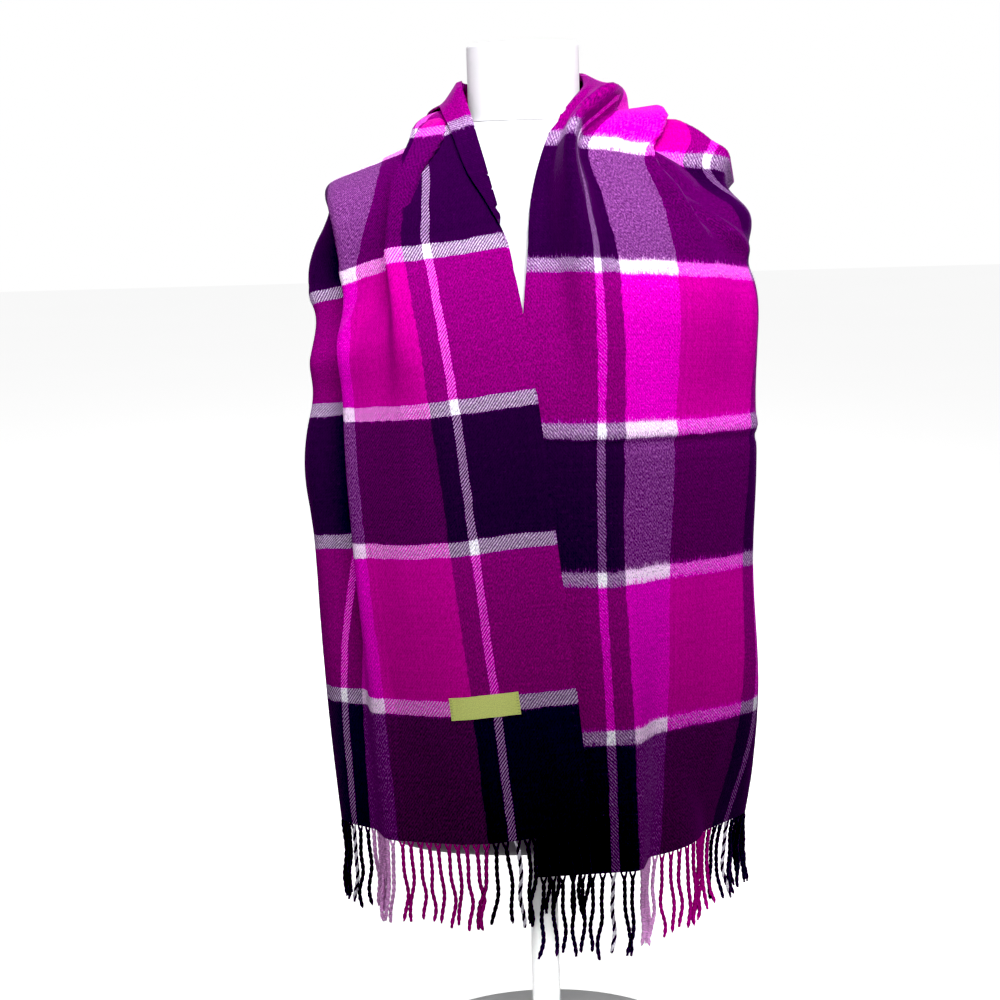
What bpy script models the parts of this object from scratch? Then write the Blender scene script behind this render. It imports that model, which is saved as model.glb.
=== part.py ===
"""Wool scarf draped round a limbless dress form on a round stand.

Metres, +Z up, the front faces -Y. The scarf is one long cloth. Its place along the length is
called `along` (0 at the hem on the -X side), its place across the width `across` (0 at the
selvedge that shows down the middle of the front). Every level of the cloth is a section curve
that starts at the neck and bends through the folds of FOLDS_LEFT or FOLDS_RIGHT. Round the nape
the cloth is turned over on itself, so both halves of a section there follow the same curve.
"""

import math
from typing import NamedTuple

import bmesh
import bpy
import numpy as np

MM = 0.001

# ---------------------------------------------------------------- sizes, millimetres
SCARF_LENGTH = 1849.0
SCARF_WIDTH = 341.0
CLOTH_THICKNESS = 2.0
NAPE_ALONG = 917.0
LEFT_CREST = 805.0
RIGHT_CREST = 1010.0
LEFT_HANG = 485.0
RIGHT_HANG = 1340.0
SEAM_GAP = 0.9
FRINGE_LENGTH = 85.0
FRINGE_THICKNESS = 4.0
TURNED_LAYER_GAP = 5.0
TURN_RADIUS = 3.0
CLEAR_OF_FORM = 2.0
CLEAR_SOFTNESS = 3.0
COLUMN_COUNT = 32

LABEL_ACROSS = (53.0, 117.0)
LABEL_ALONG = (112.0, 133.0)
LABEL_THICKNESS = 0.8
LABEL_LIFT = 1.9

FORM_BOTTOM = 240.0
NECK_SEAM = 933.0
NECK_TOP = 1005.0
NECK_GAP = 0.4
NECK_EDGE = 4.0
FORM_SEGMENTS = 56
POLE_RADIUS = 14.0
BASE_RADIUS = 150.0
BASE_HEIGHT = 12.0
BASE_EDGE = 3.0
STAND_GAP = 0.3


class Level(NamedTuple):
    """Where the inner edge or neck fold runs at one place along the scarf, and how the section lies."""

    along: float
    x: float
    y: float
    z: float
    azimuth: float
    dip: float
    tilt: float


class Fold(NamedTuple):
    """A turn of the section at one place along: how far from the neck fold, by how much, how soft."""

    along: float
    place: float
    angle: float
    spread: float


class Turned(NamedTuple):
    """How much of the width is turned over at the neck fold."""

    along: float
    width: float


class Ring(NamedTuple):
    """One level of the dress form: half width, depth before and behind the axis, and squareness."""

    z: float
    half_width: float
    front: float
    back: float
    power: float


LEVELS = (
    Level(0, 44, -136, 275, 0, 0, 3),
    Level(118, 33, -139, 402, 0, 0, 4),
    Level(270, 17, -142, 552, 0, 0, 5),
    Level(407, 3, -141, 681, 0, 0, 6),
    Level(485, -8, -133, 757, 0, 6, 8),
    Level(559, -20, -112, 822, 0, 12, 9),
    Level(630, -36, -78, 884, 0, 18, 10),
    Level(696, -48, -42, 930, 0, 28, 13),
    Level(750, -57, 0, 968, 18, 56, 26),
    Level(820, -54, 58, 970, 48, 74, 50),
    Level(917, 0, 92, 966, 90, 90, 84),
    Level(1014, 53, 58, 976, 26, 78, 32),
    Level(1075, 54, 0, 966, 8, 54, 16),
    Level(1105, 44, -34, 951, 3, 42, 8),
    Level(1137, 21, -60, 919, 0, 24, 3),
    Level(1200, 3, -88, 862, 0, 12, 2),
    Level(1274, -2, -112, 806, 0, 6, 3),
    Level(1340, -8, -124, 742, 0, 6, 2),
    Level(1426, -12, -127, 657, 0, 0, 2),
    Level(1563, -14, -126, 518, 0, 0, 1),
    Level(1715, -9, -122, 365, 0, 0, 0),
    Level(1849, -7, -120, 228, 0, 0, -2),
)

TURNED_OVER = (
    Turned(0, 0), Turned(560, 0), Turned(600, 8), Turned(640, 18), Turned(700, 22), Turned(750, 34),
    Turned(820, 90), Turned(917, 170), Turned(1014, 251), Turned(1080, 310), Turned(1137, 341),
    Turned(1849, 341),
)

FOLDS_LEFT = {
    "lean": (Fold(0, 0, 0, 1), Fold(600, 0, 0, 1), Fold(696, 0, 8, 1), Fold(750, 0, 20, 1),
             Fold(820, 0, 5, 1), Fold(917, 0, 0, 1)),
    "collar roll": (Fold(0, 40, -10, 30), Fold(407, 50, -5, 30), Fold(485, 44, -14, 15),
                    Fold(559, 36, -18, 12), Fold(630, 34, -30, 12), Fold(696, 34, -40, 9),
                    Fold(750, 32, -34, 9), Fold(820, 34, -20, 9), Fold(917, 20, 0, 9)),
    "pleat ridge": (Fold(0, 105, 34, 34), Fold(270, 105, 40, 34), Fold(407, 106, 48, 34),
                    Fold(485, 114, 80, 14), Fold(559, 114, 150, 8), Fold(630, 97, 196, 7),
                    Fold(696, 66, 200, 7), Fold(750, 52, 170, 7), Fold(820, 56, 60, 9),
                    Fold(917, 60, 0, 9)),
    "pleat valley": (Fold(0, 170, 0, 20), Fold(407, 170, 0, 20), Fold(485, 140, -24, 12),
                     Fold(559, 136, -96, 8), Fold(630, 125, -148, 7), Fold(696, 102, -155, 7),
                     Fold(750, 86, -150, 7), Fold(820, 84, -50, 9), Fold(917, 80, 0, 9)),
    "front corner": (Fold(0, 200, 50, 14), Fold(118, 202, 55, 14), Fold(270, 205, 72, 11),
                     Fold(407, 206, 80, 9), Fold(559, 210, 84, 9), Fold(630, 218, 76, 13),
                     Fold(696, 224, 75, 16), Fold(750, 192, 44, 12), Fold(820, 130, 46, 12),
                     Fold(917, 120, 0, 9)),
    "side valley": (Fold(0, 236, -30, 14), Fold(118, 240, -50, 14), Fold(270, 256, -86, 11),
                    Fold(407, 268, -112, 8), Fold(485, 270, -112, 8), Fold(559, 268, -102, 9),
                    Fold(630, 264, -50, 16), Fold(696, 256, 0, 16), Fold(750, 230, -10, 12),
                    Fold(820, 180, -14, 9), Fold(917, 150, 0, 9)),
    "side corner": (Fold(0, 290, 50, 28), Fold(118, 290, 60, 28), Fold(270, 312, 72, 18),
                    Fold(407, 334, 60, 9), Fold(559, 332, 60, 9), Fold(630, 306, 60, 20),
                    Fold(696, 270, 40, 24), Fold(750, 250, 50, 14), Fold(820, 230, 10, 9),
                    Fold(917, 200, 0, 9)),
}

FOLDS_RIGHT = {
    "neck roll": (Fold(917, 30, 0, 9), Fold(1014, 24, -10, 9), Fold(1075, 14, -22, 8),
                  Fold(1105, 13, -56, 7), Fold(1137, 12, -80, 7), Fold(1200, 16, -60, 9),
                  Fold(1274, 24, -50, 12), Fold(1426, 50, 0, 20), Fold(1849, 50, 0, 40)),
    "neck drop": (Fold(917, 60, 0, 9), Fold(1014, 50, 50, 9), Fold(1075, 34, 110, 8),
                  Fold(1105, 42, 146, 8), Fold(1137, 46, 166, 8), Fold(1200, 54, 125, 10),
                  Fold(1274, 62, 85, 12), Fold(1426, 84, 32, 16), Fold(1563, 90, 42, 12),
                  Fold(1715, 94, 56, 12), Fold(1849, 97, 78, 9)),
    "neck valley": (Fold(917, 80, 0, 9), Fold(1014, 74, -52, 9), Fold(1075, 60, -114, 9),
                    Fold(1105, 78, -98, 9), Fold(1137, 88, -85, 9), Fold(1200, 88, -62, 12),
                    Fold(1274, 92, -22, 20), Fold(1426, 130, -2, 20), Fold(1563, 150, -12, 12),
                    Fold(1715, 151, -24, 12), Fold(1849, 150, -32, 10)),
    "pale band fall": (Fold(917, 110, 0, 9), Fold(1075, 104, 0, 12), Fold(1137, 118, 34, 12),
                       Fold(1200, 124, 24, 12), Fold(1274, 130, 12, 12), Fold(1426, 130, 0, 12),
                       Fold(1849, 130, 0, 12)),
    "pale band rise": (Fold(917, 130, 0, 9), Fold(1075, 124, 0, 12), Fold(1137, 140, -44, 12),
                       Fold(1200, 146, -30, 12), Fold(1274, 150, -10, 12), Fold(1426, 150, 0, 12),
                       Fold(1849, 150, 0, 12)),
    "pleat ridge": (Fold(917, 130, 0, 9), Fold(1014, 90, 90, 9), Fold(1075, 108, 186, 7),
                    Fold(1105, 132, 176, 7), Fold(1137, 160, 166, 7), Fold(1200, 176, 76, 12),
                    Fold(1274, 182, 32, 16), Fold(1426, 190, 8, 20), Fold(1849, 190, 0, 20)),
    "pleat valley": (Fold(917, 160, 0, 9), Fold(1014, 116, -80, 9), Fold(1075, 150, -176, 7),
                     Fold(1105, 170, -168, 7), Fold(1137, 190, -158, 7), Fold(1200, 206, -54, 14),
                     Fold(1274, 215, -3, 16), Fold(1849, 215, 0, 20)),
    "side corner": (Fold(917, 240, 0, 9), Fold(1014, 150, 75, 12), Fold(1075, 212, 106, 12),
                    Fold(1105, 248, 96, 12), Fold(1137, 282, 80, 14), Fold(1200, 260, 74, 18),
                    Fold(1274, 252, 68, 22), Fold(1340, 246, 70, 22), Fold(1426, 256, 70, 24),
                    Fold(1563, 257, 66, 24), Fold(1715, 268, 60, 26), Fold(1849, 304, 54, 22)),
}

RINGS = (
    Ring(240, 156, 96, 102, 2.2),
    Ring(300, 153, 96, 100, 2.2),
    Ring(400, 144, 92, 92, 2.2),
    Ring(480, 136, 90, 82, 2.2),
    Ring(560, 140, 96, 80, 2.2),
    Ring(640, 154, 116, 88, 2.3),
    Ring(690, 164, 126, 95, 2.4),
    Ring(740, 168, 120, 99, 2.4),
    Ring(800, 172, 104, 99, 2.45),
    Ring(840, 174, 88, 94, 2.35),
    Ring(860, 168, 79, 89, 2.25),
    Ring(876, 157, 74, 84, 2.15),
    Ring(890, 142, 68, 76, 2.1),
    Ring(903, 117, 63, 69, 2.05),
    Ring(915, 90, 58, 63, 2.0),
    Ring(926, 64, 55, 57, 2.0),
    Ring(933, 54, 53, 54, 2.0),
    Ring(940, 53, 52, 53, 2.0),
    Ring(1005, 53, 52, 52, 2.0),
)


# ---------------------------------------------------------------- tables read as smooth curves
def cubic(knots, values, slopes, where):
    """Hermite curve through the knots, with one column for each value."""
    where = np.clip(np.atleast_1d(np.asarray(where, float)), knots[0], knots[-1])
    k = np.clip(np.searchsorted(knots, where) - 1, 0, len(knots) - 2)
    step = (knots[k + 1] - knots[k])[:, None]
    t = (where - knots[k])[:, None] / step
    start = (1 + 2 * t) * (1 - t) ** 2 * values[k] + t * (1 - t) ** 2 * step * slopes[k]
    end = t * t * (3 - 2 * t) * values[k + 1] + t * t * (t - 1) * step * slopes[k + 1]
    return start + end


def split_table(rows):
    """Knots and value columns of a table whose first column is the knot."""
    table = np.array([tuple(row) for row in rows], float)
    return table[:, 0], table[:, 1:]


def steady(rows, where):
    """Curve through a table that never overshoots its rows."""
    knots, values = split_table(rows)
    width = np.diff(knots)[:, None]
    rise = np.diff(values, axis=0) / width
    slopes = np.zeros_like(values)
    slopes[0], slopes[-1] = rise[0], rise[-1]
    same_way = rise[:-1] * rise[1:] > 0
    before, after = np.where(same_way, rise[:-1], 1.0), np.where(same_way, rise[1:], 1.0)
    w_before, w_after = 2 * width[1:] + width[:-1], width[1:] + 2 * width[:-1]
    mean = (w_before + w_after) / (w_before / before + w_after / after)
    slopes[1:-1] = np.where(same_way, mean, 0.0)
    return cubic(knots, values, slopes, where)


def flowing(rows, where):
    """Curve through a table with an even flow at every row."""
    knots, values = split_table(rows)
    slopes = np.empty_like(values)
    slopes[1:-1] = (values[2:] - values[:-2]) / (knots[2:] - knots[:-2])[:, None]
    slopes[0] = (values[1] - values[0]) / (knots[1] - knots[0])
    slopes[-1] = (values[-1] - values[-2]) / (knots[-1] - knots[-2])
    return cubic(knots, values, slopes, where)


# ---------------------------------------------------------------- dress form
def ring_values(z):
    """Half width, front, back and power of the form at each height."""
    values = steady(RINGS, np.ravel(z))
    return [values[:, i].reshape(np.shape(z)) for i in range(4)]


def form_level(points):
    """Zero on the form's skin, above zero outside it."""
    half_width, front, back, power = ring_values(points[..., 2])
    depth = np.where(points[..., 1] < 0, front, back)
    wide = np.abs(points[..., 0] / half_width) ** power
    deep = np.abs(points[..., 1] / depth) ** power
    return (wide + deep) ** (1 / power) - 1


def lift_off_form(points, clearance):
    """Move points straight off the form until they keep the clearance."""
    points = points.copy()
    for step in range(4):
        level = form_level(points)
        slope = np.stack([(form_level(points + nudge) - level) / 0.5 for nudge in np.eye(3) * 0.5], -1)
        steepness = np.linalg.norm(slope, axis=-1) + 1e-9
        lack = clearance - np.clip(level / steepness, -30, 200)
        if step == 0:
            move = 0.5 * (lack + np.sqrt(lack * lack + CLEAR_SOFTNESS ** 2))
        else:
            move = lack
        points += slope / steepness[..., None] * np.clip(move, 0, 25)[..., None]
    return points


# ---------------------------------------------------------------- scarf
def section_curves(along):
    """Heading and run of every section, at each millimetre out from the neck fold."""
    out = np.arange(0.0, SCARF_WIDTH + 1.0)
    heading = np.zeros((len(along), len(out)))
    for folds, here in ((FOLDS_LEFT, along <= NAPE_ALONG), (FOLDS_RIGHT, along > NAPE_ALONG)):
        for name, rows in folds.items():
            place, angle, spread = steady(rows, along).T[:, :, None]
            t = np.clip((out - place) / (2 * spread) + 0.5, 0, 1)
            turn = angle * (1.0 if name == "lean" else t * t * (3 - 2 * t))
            heading += turn * here[:, None]
    heading = np.radians(heading)
    runs = []
    for part in (np.cos(heading), np.sin(heading)):
        steps = (part[:, 1:] + part[:, :-1]) / 2
        runs.append(np.concatenate([np.zeros((len(along), 1)), np.cumsum(steps, axis=1)], axis=1))
    return out, heading, runs[0], runs[1]


def section_frames(along, bearing):
    """Outward and inward directions of every section."""
    azimuth, dip, tilt = np.radians(bearing).T[:, :, None]
    side = np.where(along <= NAPE_ALONG, -1.0, 1.0)[:, None]
    flat = np.zeros_like(azimuth)
    up = np.array([0.0, 0.0, 1.0])
    level_out = np.concatenate([side * np.cos(azimuth), np.sin(azimuth), flat], 1)
    level_in = np.concatenate([-side * np.sin(azimuth), np.cos(azimuth), flat], 1)
    out = level_out * np.cos(tilt) - up * np.sin(tilt)
    down = -level_out * np.sin(tilt) - up * np.cos(tilt)
    return out, level_in * np.cos(dip) + down * np.sin(dip)


def read_rows(where, out, rows):
    """Value of each row's own curve at its own places."""
    return np.stack([np.interp(x, out, row) for x, row in zip(where, rows)])


def cloth_points(along, across):
    """Middle of the cloth, in millimetres, for every place along and across."""
    along, across = np.asarray(along, float), np.asarray(across, float)
    levels = flowing([(lv.along, lv.x, lv.y, lv.z) for lv in LEVELS], along)
    bearing = steady([(lv.along,) + tuple(lv[4:]) for lv in LEVELS], along)
    turned = steady(TURNED_OVER, along)
    out, heading, run_out, run_in = section_curves(along)
    outward, inward = section_frames(along, bearing)
    from_fold = np.abs(across - turned)
    rounding = np.sqrt(1 - (1 - np.clip(from_fold / TURN_RADIUS, 0, 1)) ** 2)
    layered = np.clip(np.minimum(turned, SCARF_WIDTH - turned) / TURN_RADIUS, 0, 1)
    lift = TURNED_LAYER_GAP / 2 * rounding * layered * np.where(across < turned, 1.0, -1.0)
    angle = read_rows(from_fold, out, heading)
    a = read_rows(from_fold, out, run_out) + np.sin(angle) * lift
    b = read_rows(from_fold, out, run_in) - np.cos(angle) * lift
    points = levels[:, None] + a[..., None] * outward[:, None] + b[..., None] * inward[:, None]
    return lift_off_form(points, CLEAR_OF_FORM + TURNED_LAYER_GAP / 2 * layered + lift)


def columns(count):
    """Places across, shared by all stretches, closer together where the sections turn most."""
    along = np.linspace(0.0, SCARF_LENGTH, 80)
    fine = np.arange(0.0, SCARF_WIDTH + 1.0)
    out, heading, _, _ = section_curves(along)
    angle = read_rows(np.abs(fine - steady(TURNED_OVER, along)), out, heading)
    weight = 1 + 12 * np.mean(np.abs(np.gradient(angle, axis=1)), axis=0)
    share = np.concatenate([[0], np.cumsum((weight[1:] + weight[:-1]) / 2)])
    return np.interp(np.linspace(0, share[-1], count + 1), share, fine)


def sections(stops, steps):
    """Places along the scarf: each span between two stops is cut into its number of even steps."""
    spans = [np.linspace(start, end, count, endpoint=False)
             for start, end, count in zip(stops, stops[1:], steps)]
    return np.concatenate(spans + [[stops[-1]]])


# ---------------------------------------------------------------- meshes and materials
def finish(name, colour, roughness, sheen=0.0):
    """Principled material."""
    material = bpy.data.materials.new(name)
    material.use_nodes = True
    shader = material.node_tree.nodes["Principled BSDF"]
    shader.inputs["Base Color"].default_value = (*colour, 1.0)
    shader.inputs["Roughness"].default_value = roughness
    shader.inputs["Metallic"].default_value = 0.0
    shader.inputs["Sheen Weight"].default_value = sheen
    material.diffuse_color = (*colour, 1.0)
    return material


def cloth_normals(along, across):
    """Unit normals of the cloth, the same on both sides of a seam."""
    span = 0.5
    du = cloth_points(along, np.asarray(across) + span) - cloth_points(along, np.asarray(across) - span)
    dv = cloth_points(np.asarray(along) + span, across) - cloth_points(np.asarray(along) - span, across)
    normal = np.cross(du, dv)
    return normal / (np.linalg.norm(normal, axis=2, keepdims=True) + 1e-9)


def shell_object(name, points, normals, material, collection, thickness):
    """Closed wall lofted through a grid of sections: two faces apart by the thickness, and the rims."""
    rows, columns = points.shape[:2]
    count = rows * columns
    faces = np.concatenate([points + normals * thickness / 2, points - normals * thickness / 2])
    mesh = bpy.data.meshes.new(name)
    bm = bmesh.new()
    verts = [bm.verts.new(tuple(p * MM)) for p in faces.reshape(-1, 3)]
    for i in range(rows - 1):
        for j in range(columns - 1):
            k = i * columns + j
            quad = (k, k + 1, k + columns + 1, k + columns)
            bm.faces.new([verts[n] for n in quad])
            bm.faces.new([verts[n + count] for n in reversed(quad)])
    low = list(range(columns))
    high = [(rows - 1) * columns + j for j in range(columns)]
    near = [i * columns for i in range(rows)]
    far = [i * columns + columns - 1 for i in range(rows)]
    for edge, step in ((low, -1), (high, 1), (near, 1), (far, -1)):
        for a, b in zip(edge, edge[1:]):
            bm.faces.new([verts[n] for n in (a, b, b + count)[::step]])
            bm.faces.new([verts[n] for n in (a, b + count, a + count)[::step]])
    bm.to_mesh(mesh)
    bm.free()
    mesh.shade_smooth()
    mesh.set_sharp_from_angle(angle=math.radians(60))
    mesh.materials.append(material)
    item = bpy.data.objects.new(name, mesh)
    collection.objects.link(item)
    return item


def ring_object(name, heights, material, collection, shrink=None):
    """Closed solid lofted through the form's rings at the heights given."""
    shrink = shrink or [0.0] * len(heights)
    mesh = bpy.data.meshes.new(name)
    bm = bmesh.new()
    angles = [2 * math.pi * i / FORM_SEGMENTS for i in range(FORM_SEGMENTS)]
    loops = []
    for z, inset in zip(heights, shrink):
        half_width, front, back, power = (float(v) for v in ring_values(np.array(z)))
        loop = []
        for angle in angles:
            c, s = math.cos(angle), math.sin(angle)
            depth = front if s < 0 else back
            radius = (abs(c / half_width) ** power + abs(s / depth) ** power) ** (-1 / power) - inset
            loop.append(bm.verts.new((radius * c * MM, radius * s * MM, z * MM)))
        loops.append(loop)
    for low, high in zip(loops, loops[1:]):
        for i in range(FORM_SEGMENTS):
            j = (i + 1) % FORM_SEGMENTS
            bm.faces.new((low[i], low[j], high[j], high[i]))
    bm.faces.new(list(reversed(loops[0])))
    bm.faces.new(loops[-1])
    bm.to_mesh(mesh)
    bm.free()
    mesh.shade_smooth()
    mesh.set_sharp_from_angle(angle=math.radians(40))
    mesh.materials.append(material)
    item = bpy.data.objects.new(name, mesh)
    collection.objects.link(item)
    return item


def turned_object(name, profile, material, collection):
    """Solid turned round Z from a profile of (radius, height) in millimetres, top to bottom."""
    mesh = bpy.data.meshes.new(name)
    verts = [(radius * MM, 0.0, height * MM) for radius, height in profile]
    edges = [(i, i + 1) for i in range(len(profile) - 1)]
    mesh.from_pydata(verts, edges, [])
    mesh.materials.append(material)
    item = bpy.data.objects.new(name, mesh)
    collection.objects.link(item)
    screw = item.modifiers.new("Turn", "SCREW")
    screw.steps = screw.render_steps = 64
    screw.use_merge_vertices = True
    screw.merge_threshold = 0.00001
    screw.use_smooth_shade = True
    return item


# ---------------------------------------------------------------- pieces
def build_form(collection, covering):
    """Torso and neck cap of the dress form, a fine gap apart at the neck seam."""
    torso = [FORM_BOTTOM, FORM_BOTTOM + 4, 270, 300, 340, 380, 420, 460, 500, 540, 580, 620, 655, 685,
             715, 745, 775, 800, 822, 840, 852, 863, 873, 882, 890, 897, 903, 909, 915, 921, 927,
             NECK_SEAM - NECK_GAP / 2]
    inset = [4.0] + [0.0] * (len(torso) - 1)
    ring_object("form_torso", torso, covering, collection, inset)
    neck = [NECK_SEAM + NECK_GAP / 2, 936, 940, 970, NECK_TOP - NECK_EDGE, NECK_TOP - NECK_EDGE * 0.3,
            NECK_TOP]
    rounded = [0.0] * 5 + [NECK_EDGE * 0.3, NECK_EDGE]
    ring_object("form_neck", neck, covering, collection, rounded)


def build_stand(collection, enamel):
    """Round flat base and the pole that carries the form."""
    base = [(0, BASE_HEIGHT), (BASE_RADIUS - BASE_EDGE, BASE_HEIGHT),
            (BASE_RADIUS - BASE_EDGE * 0.3, BASE_HEIGHT - BASE_EDGE * 0.3),
            (BASE_RADIUS, BASE_HEIGHT - BASE_EDGE), (BASE_RADIUS, 0), (0, 0)]
    turned_object("stand_base", base, enamel, collection)
    top, bottom = FORM_BOTTOM - STAND_GAP, BASE_HEIGHT + STAND_GAP
    pole = [(0, top), (POLE_RADIUS, top), (POLE_RADIUS, bottom), (0, bottom)]
    turned_object("stand_pole", pole, enamel, collection)


def build_scarf(collection, wool):
    """The three stretches of the scarf: left front, nape and right front."""
    half = SEAM_GAP / 2
    stretches = {
        "scarf_left_front": sections((0.0, LEFT_HANG, LEFT_CREST - half), (8, 18)),
        "scarf_nape": sections((LEFT_CREST + half, RIGHT_CREST - half), (14,)),
        "scarf_right_front": sections((RIGHT_CREST + half, RIGHT_HANG, SCARF_LENGTH), (18, 8)),
    }
    across = columns(COLUMN_COUNT)
    for name, along in stretches.items():
        middle, normals = cloth_points(along, across), cloth_normals(along, across)
        shell_object(name, middle, normals, wool, collection, CLOTH_THICKNESS)


def build_fringe(collection, wool):
    """The reach of each fringe: a plain band that hangs from the hem."""
    for name, hem, inner in (("fringe_left", 0.0, 1.0), ("fringe_right", SCARF_LENGTH, -1.0)):
        along = np.array([hem, hem + inner])
        across = columns(COLUMN_COUNT)
        edge = cloth_points(along, across)[0]
        run = np.gradient(edge, axis=0)
        normal = np.stack([-run[:, 1], run[:, 0], np.zeros(len(run))], 1)
        normal /= np.linalg.norm(normal, axis=1, keepdims=True)
        drops = np.array([SEAM_GAP, FRINGE_LENGTH])
        points = edge[None] - drops[:, None, None] * np.array([0.0, 0.0, 1.0])
        normals = np.repeat(normal[None], len(drops), axis=0)
        shell_object(name, points, normals, wool, collection, FRINGE_THICKNESS)


def build_label(collection, tape):
    """Woven label, made from the cloth under it and moved out."""
    along = np.linspace(*LABEL_ALONG, 5)
    across = np.linspace(*LABEL_ACROSS, 9)
    normals = cloth_normals(along, across)
    outward = normals * -np.sign(normals[..., 1:2])
    middle = cloth_points(along, across) + outward * LABEL_LIFT
    shell_object("label", middle, normals, tape, collection, LABEL_THICKNESS)


def main():
    """Clear the scene and build every piece."""
    for item in list(bpy.data.objects):
        bpy.data.objects.remove(item, do_unlink=True)
    collection = bpy.data.collections.new("wool_scarf_on_dress_form")
    bpy.context.scene.collection.children.link(collection)
    covering = finish("white form covering", (0.82, 0.81, 0.83), 0.75)
    enamel = finish("white stand enamel", (0.80, 0.80, 0.81), 0.40)
    wool = finish("brushed wool", (0.42, 0.01, 0.28), 0.90, sheen=0.4)
    tape = finish("woven label tape", (0.58, 0.68, 0.20), 0.65)
    build_stand(collection, enamel)
    build_form(collection, covering)
    build_scarf(collection, wool)
    build_fringe(collection, wool)
    build_label(collection, tape)


main()
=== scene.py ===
"""Looks of a wool scarf draped round a limbless dress form on a round stand.

Metres in the scene, +Z up, the front faces -Y. The drape is worked out in millimetres. The scarf
is one long cloth of brushed 2/2 twill. Its place along the length is called `along` (0 at the hem
on the -X side), its place across the width `across` (0 at the selvedge that shows down the middle
of the front). Every level of the cloth is a section curve that starts at the neck and bends
through the folds of FOLDS_LEFT or FOLDS_RIGHT. Round the nape the cloth is turned over on itself.
"""
import logging
import math
from dataclasses import dataclass
from enum import Enum
from typing import Any, NamedTuple, Sequence

import bpy
import numpy as np
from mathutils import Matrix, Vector


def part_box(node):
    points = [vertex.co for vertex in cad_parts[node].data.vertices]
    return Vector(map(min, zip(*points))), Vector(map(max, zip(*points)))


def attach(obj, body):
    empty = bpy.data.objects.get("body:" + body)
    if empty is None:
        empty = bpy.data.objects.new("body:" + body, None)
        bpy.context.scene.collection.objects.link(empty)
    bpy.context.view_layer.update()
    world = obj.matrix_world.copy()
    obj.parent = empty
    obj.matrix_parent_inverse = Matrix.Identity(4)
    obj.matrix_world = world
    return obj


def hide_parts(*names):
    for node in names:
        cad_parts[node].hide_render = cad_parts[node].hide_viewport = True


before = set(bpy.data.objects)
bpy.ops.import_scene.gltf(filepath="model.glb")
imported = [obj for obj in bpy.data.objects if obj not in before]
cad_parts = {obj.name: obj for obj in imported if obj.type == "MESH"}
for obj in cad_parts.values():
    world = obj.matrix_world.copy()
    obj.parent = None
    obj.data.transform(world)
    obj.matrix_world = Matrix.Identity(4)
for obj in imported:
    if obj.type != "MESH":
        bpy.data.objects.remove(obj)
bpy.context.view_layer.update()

logging.basicConfig(level=logging.INFO, format="%(message)s")
log = logging.getLogger("scarf")

MM = 0.001
Colour = tuple[float, float, float]
Outline = Sequence[tuple[float, float]]
Solid = tuple[np.ndarray, Sequence[Sequence[int]]]


# ---------------------------------------------------------------- the drape's tables, millimetres
class Level(NamedTuple):
    """Where the inner edge or neck fold runs at one place along the scarf, and how the section lies."""

    along: float
    x: float
    y: float
    z: float
    azimuth: float
    dip: float
    tilt: float


class Fold(NamedTuple):
    """A turn of the section at one place along: how far from the neck fold, by how much, how soft."""

    along: float
    place: float
    angle: float
    spread: float


class Turned(NamedTuple):
    """How much of the width is turned over at the neck fold."""

    along: float
    width: float


class Ring(NamedTuple):
    """One level of the dress form: half width, depth before and behind the axis, and squareness."""

    z: float
    half_width: float
    front: float
    back: float
    power: float


class Crease(NamedTuple):
    """A ridge, or below zero a trough, that fades out towards its ends; bearing is from lengthwise."""

    along: float
    across: float
    bearing: float
    length: float
    width: float
    height: float


LEVELS = (
    Level(0, 44, -136, 275, 0, 0, 3),
    Level(118, 33, -139, 402, 0, 0, 4),
    Level(270, 17, -142, 552, 0, 0, 5),
    Level(407, 3, -141, 681, 0, 0, 6),
    Level(485, -8, -133, 757, 0, 6, 8),
    Level(559, -20, -112, 822, 0, 12, 9),
    Level(630, -36, -78, 884, 0, 18, 10),
    Level(696, -48, -42, 930, 0, 28, 13),
    Level(750, -57, 0, 968, 18, 56, 26),
    Level(820, -54, 58, 970, 48, 74, 50),
    Level(917, 0, 92, 966, 90, 90, 84),
    Level(1014, 53, 58, 976, 26, 78, 32),
    Level(1075, 54, 0, 966, 8, 54, 16),
    Level(1105, 44, -34, 951, 3, 42, 8),
    Level(1137, 21, -60, 919, 0, 24, 3),
    Level(1200, 3, -88, 862, 0, 12, 2),
    Level(1274, -2, -112, 806, 0, 6, 3),
    Level(1340, -8, -124, 742, 0, 6, 2),
    Level(1426, -12, -127, 657, 0, 0, 2),
    Level(1563, -14, -126, 518, 0, 0, 1),
    Level(1715, -9, -122, 365, 0, 0, 0),
    Level(1849, -7, -120, 228, 0, 0, -2),
)

TURNED_OVER = (
    Turned(0, 0), Turned(560, 0), Turned(600, 8), Turned(640, 18), Turned(700, 22), Turned(750, 34),
    Turned(820, 90), Turned(917, 170), Turned(1014, 251), Turned(1080, 310), Turned(1137, 341),
    Turned(1849, 341),
)

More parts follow.
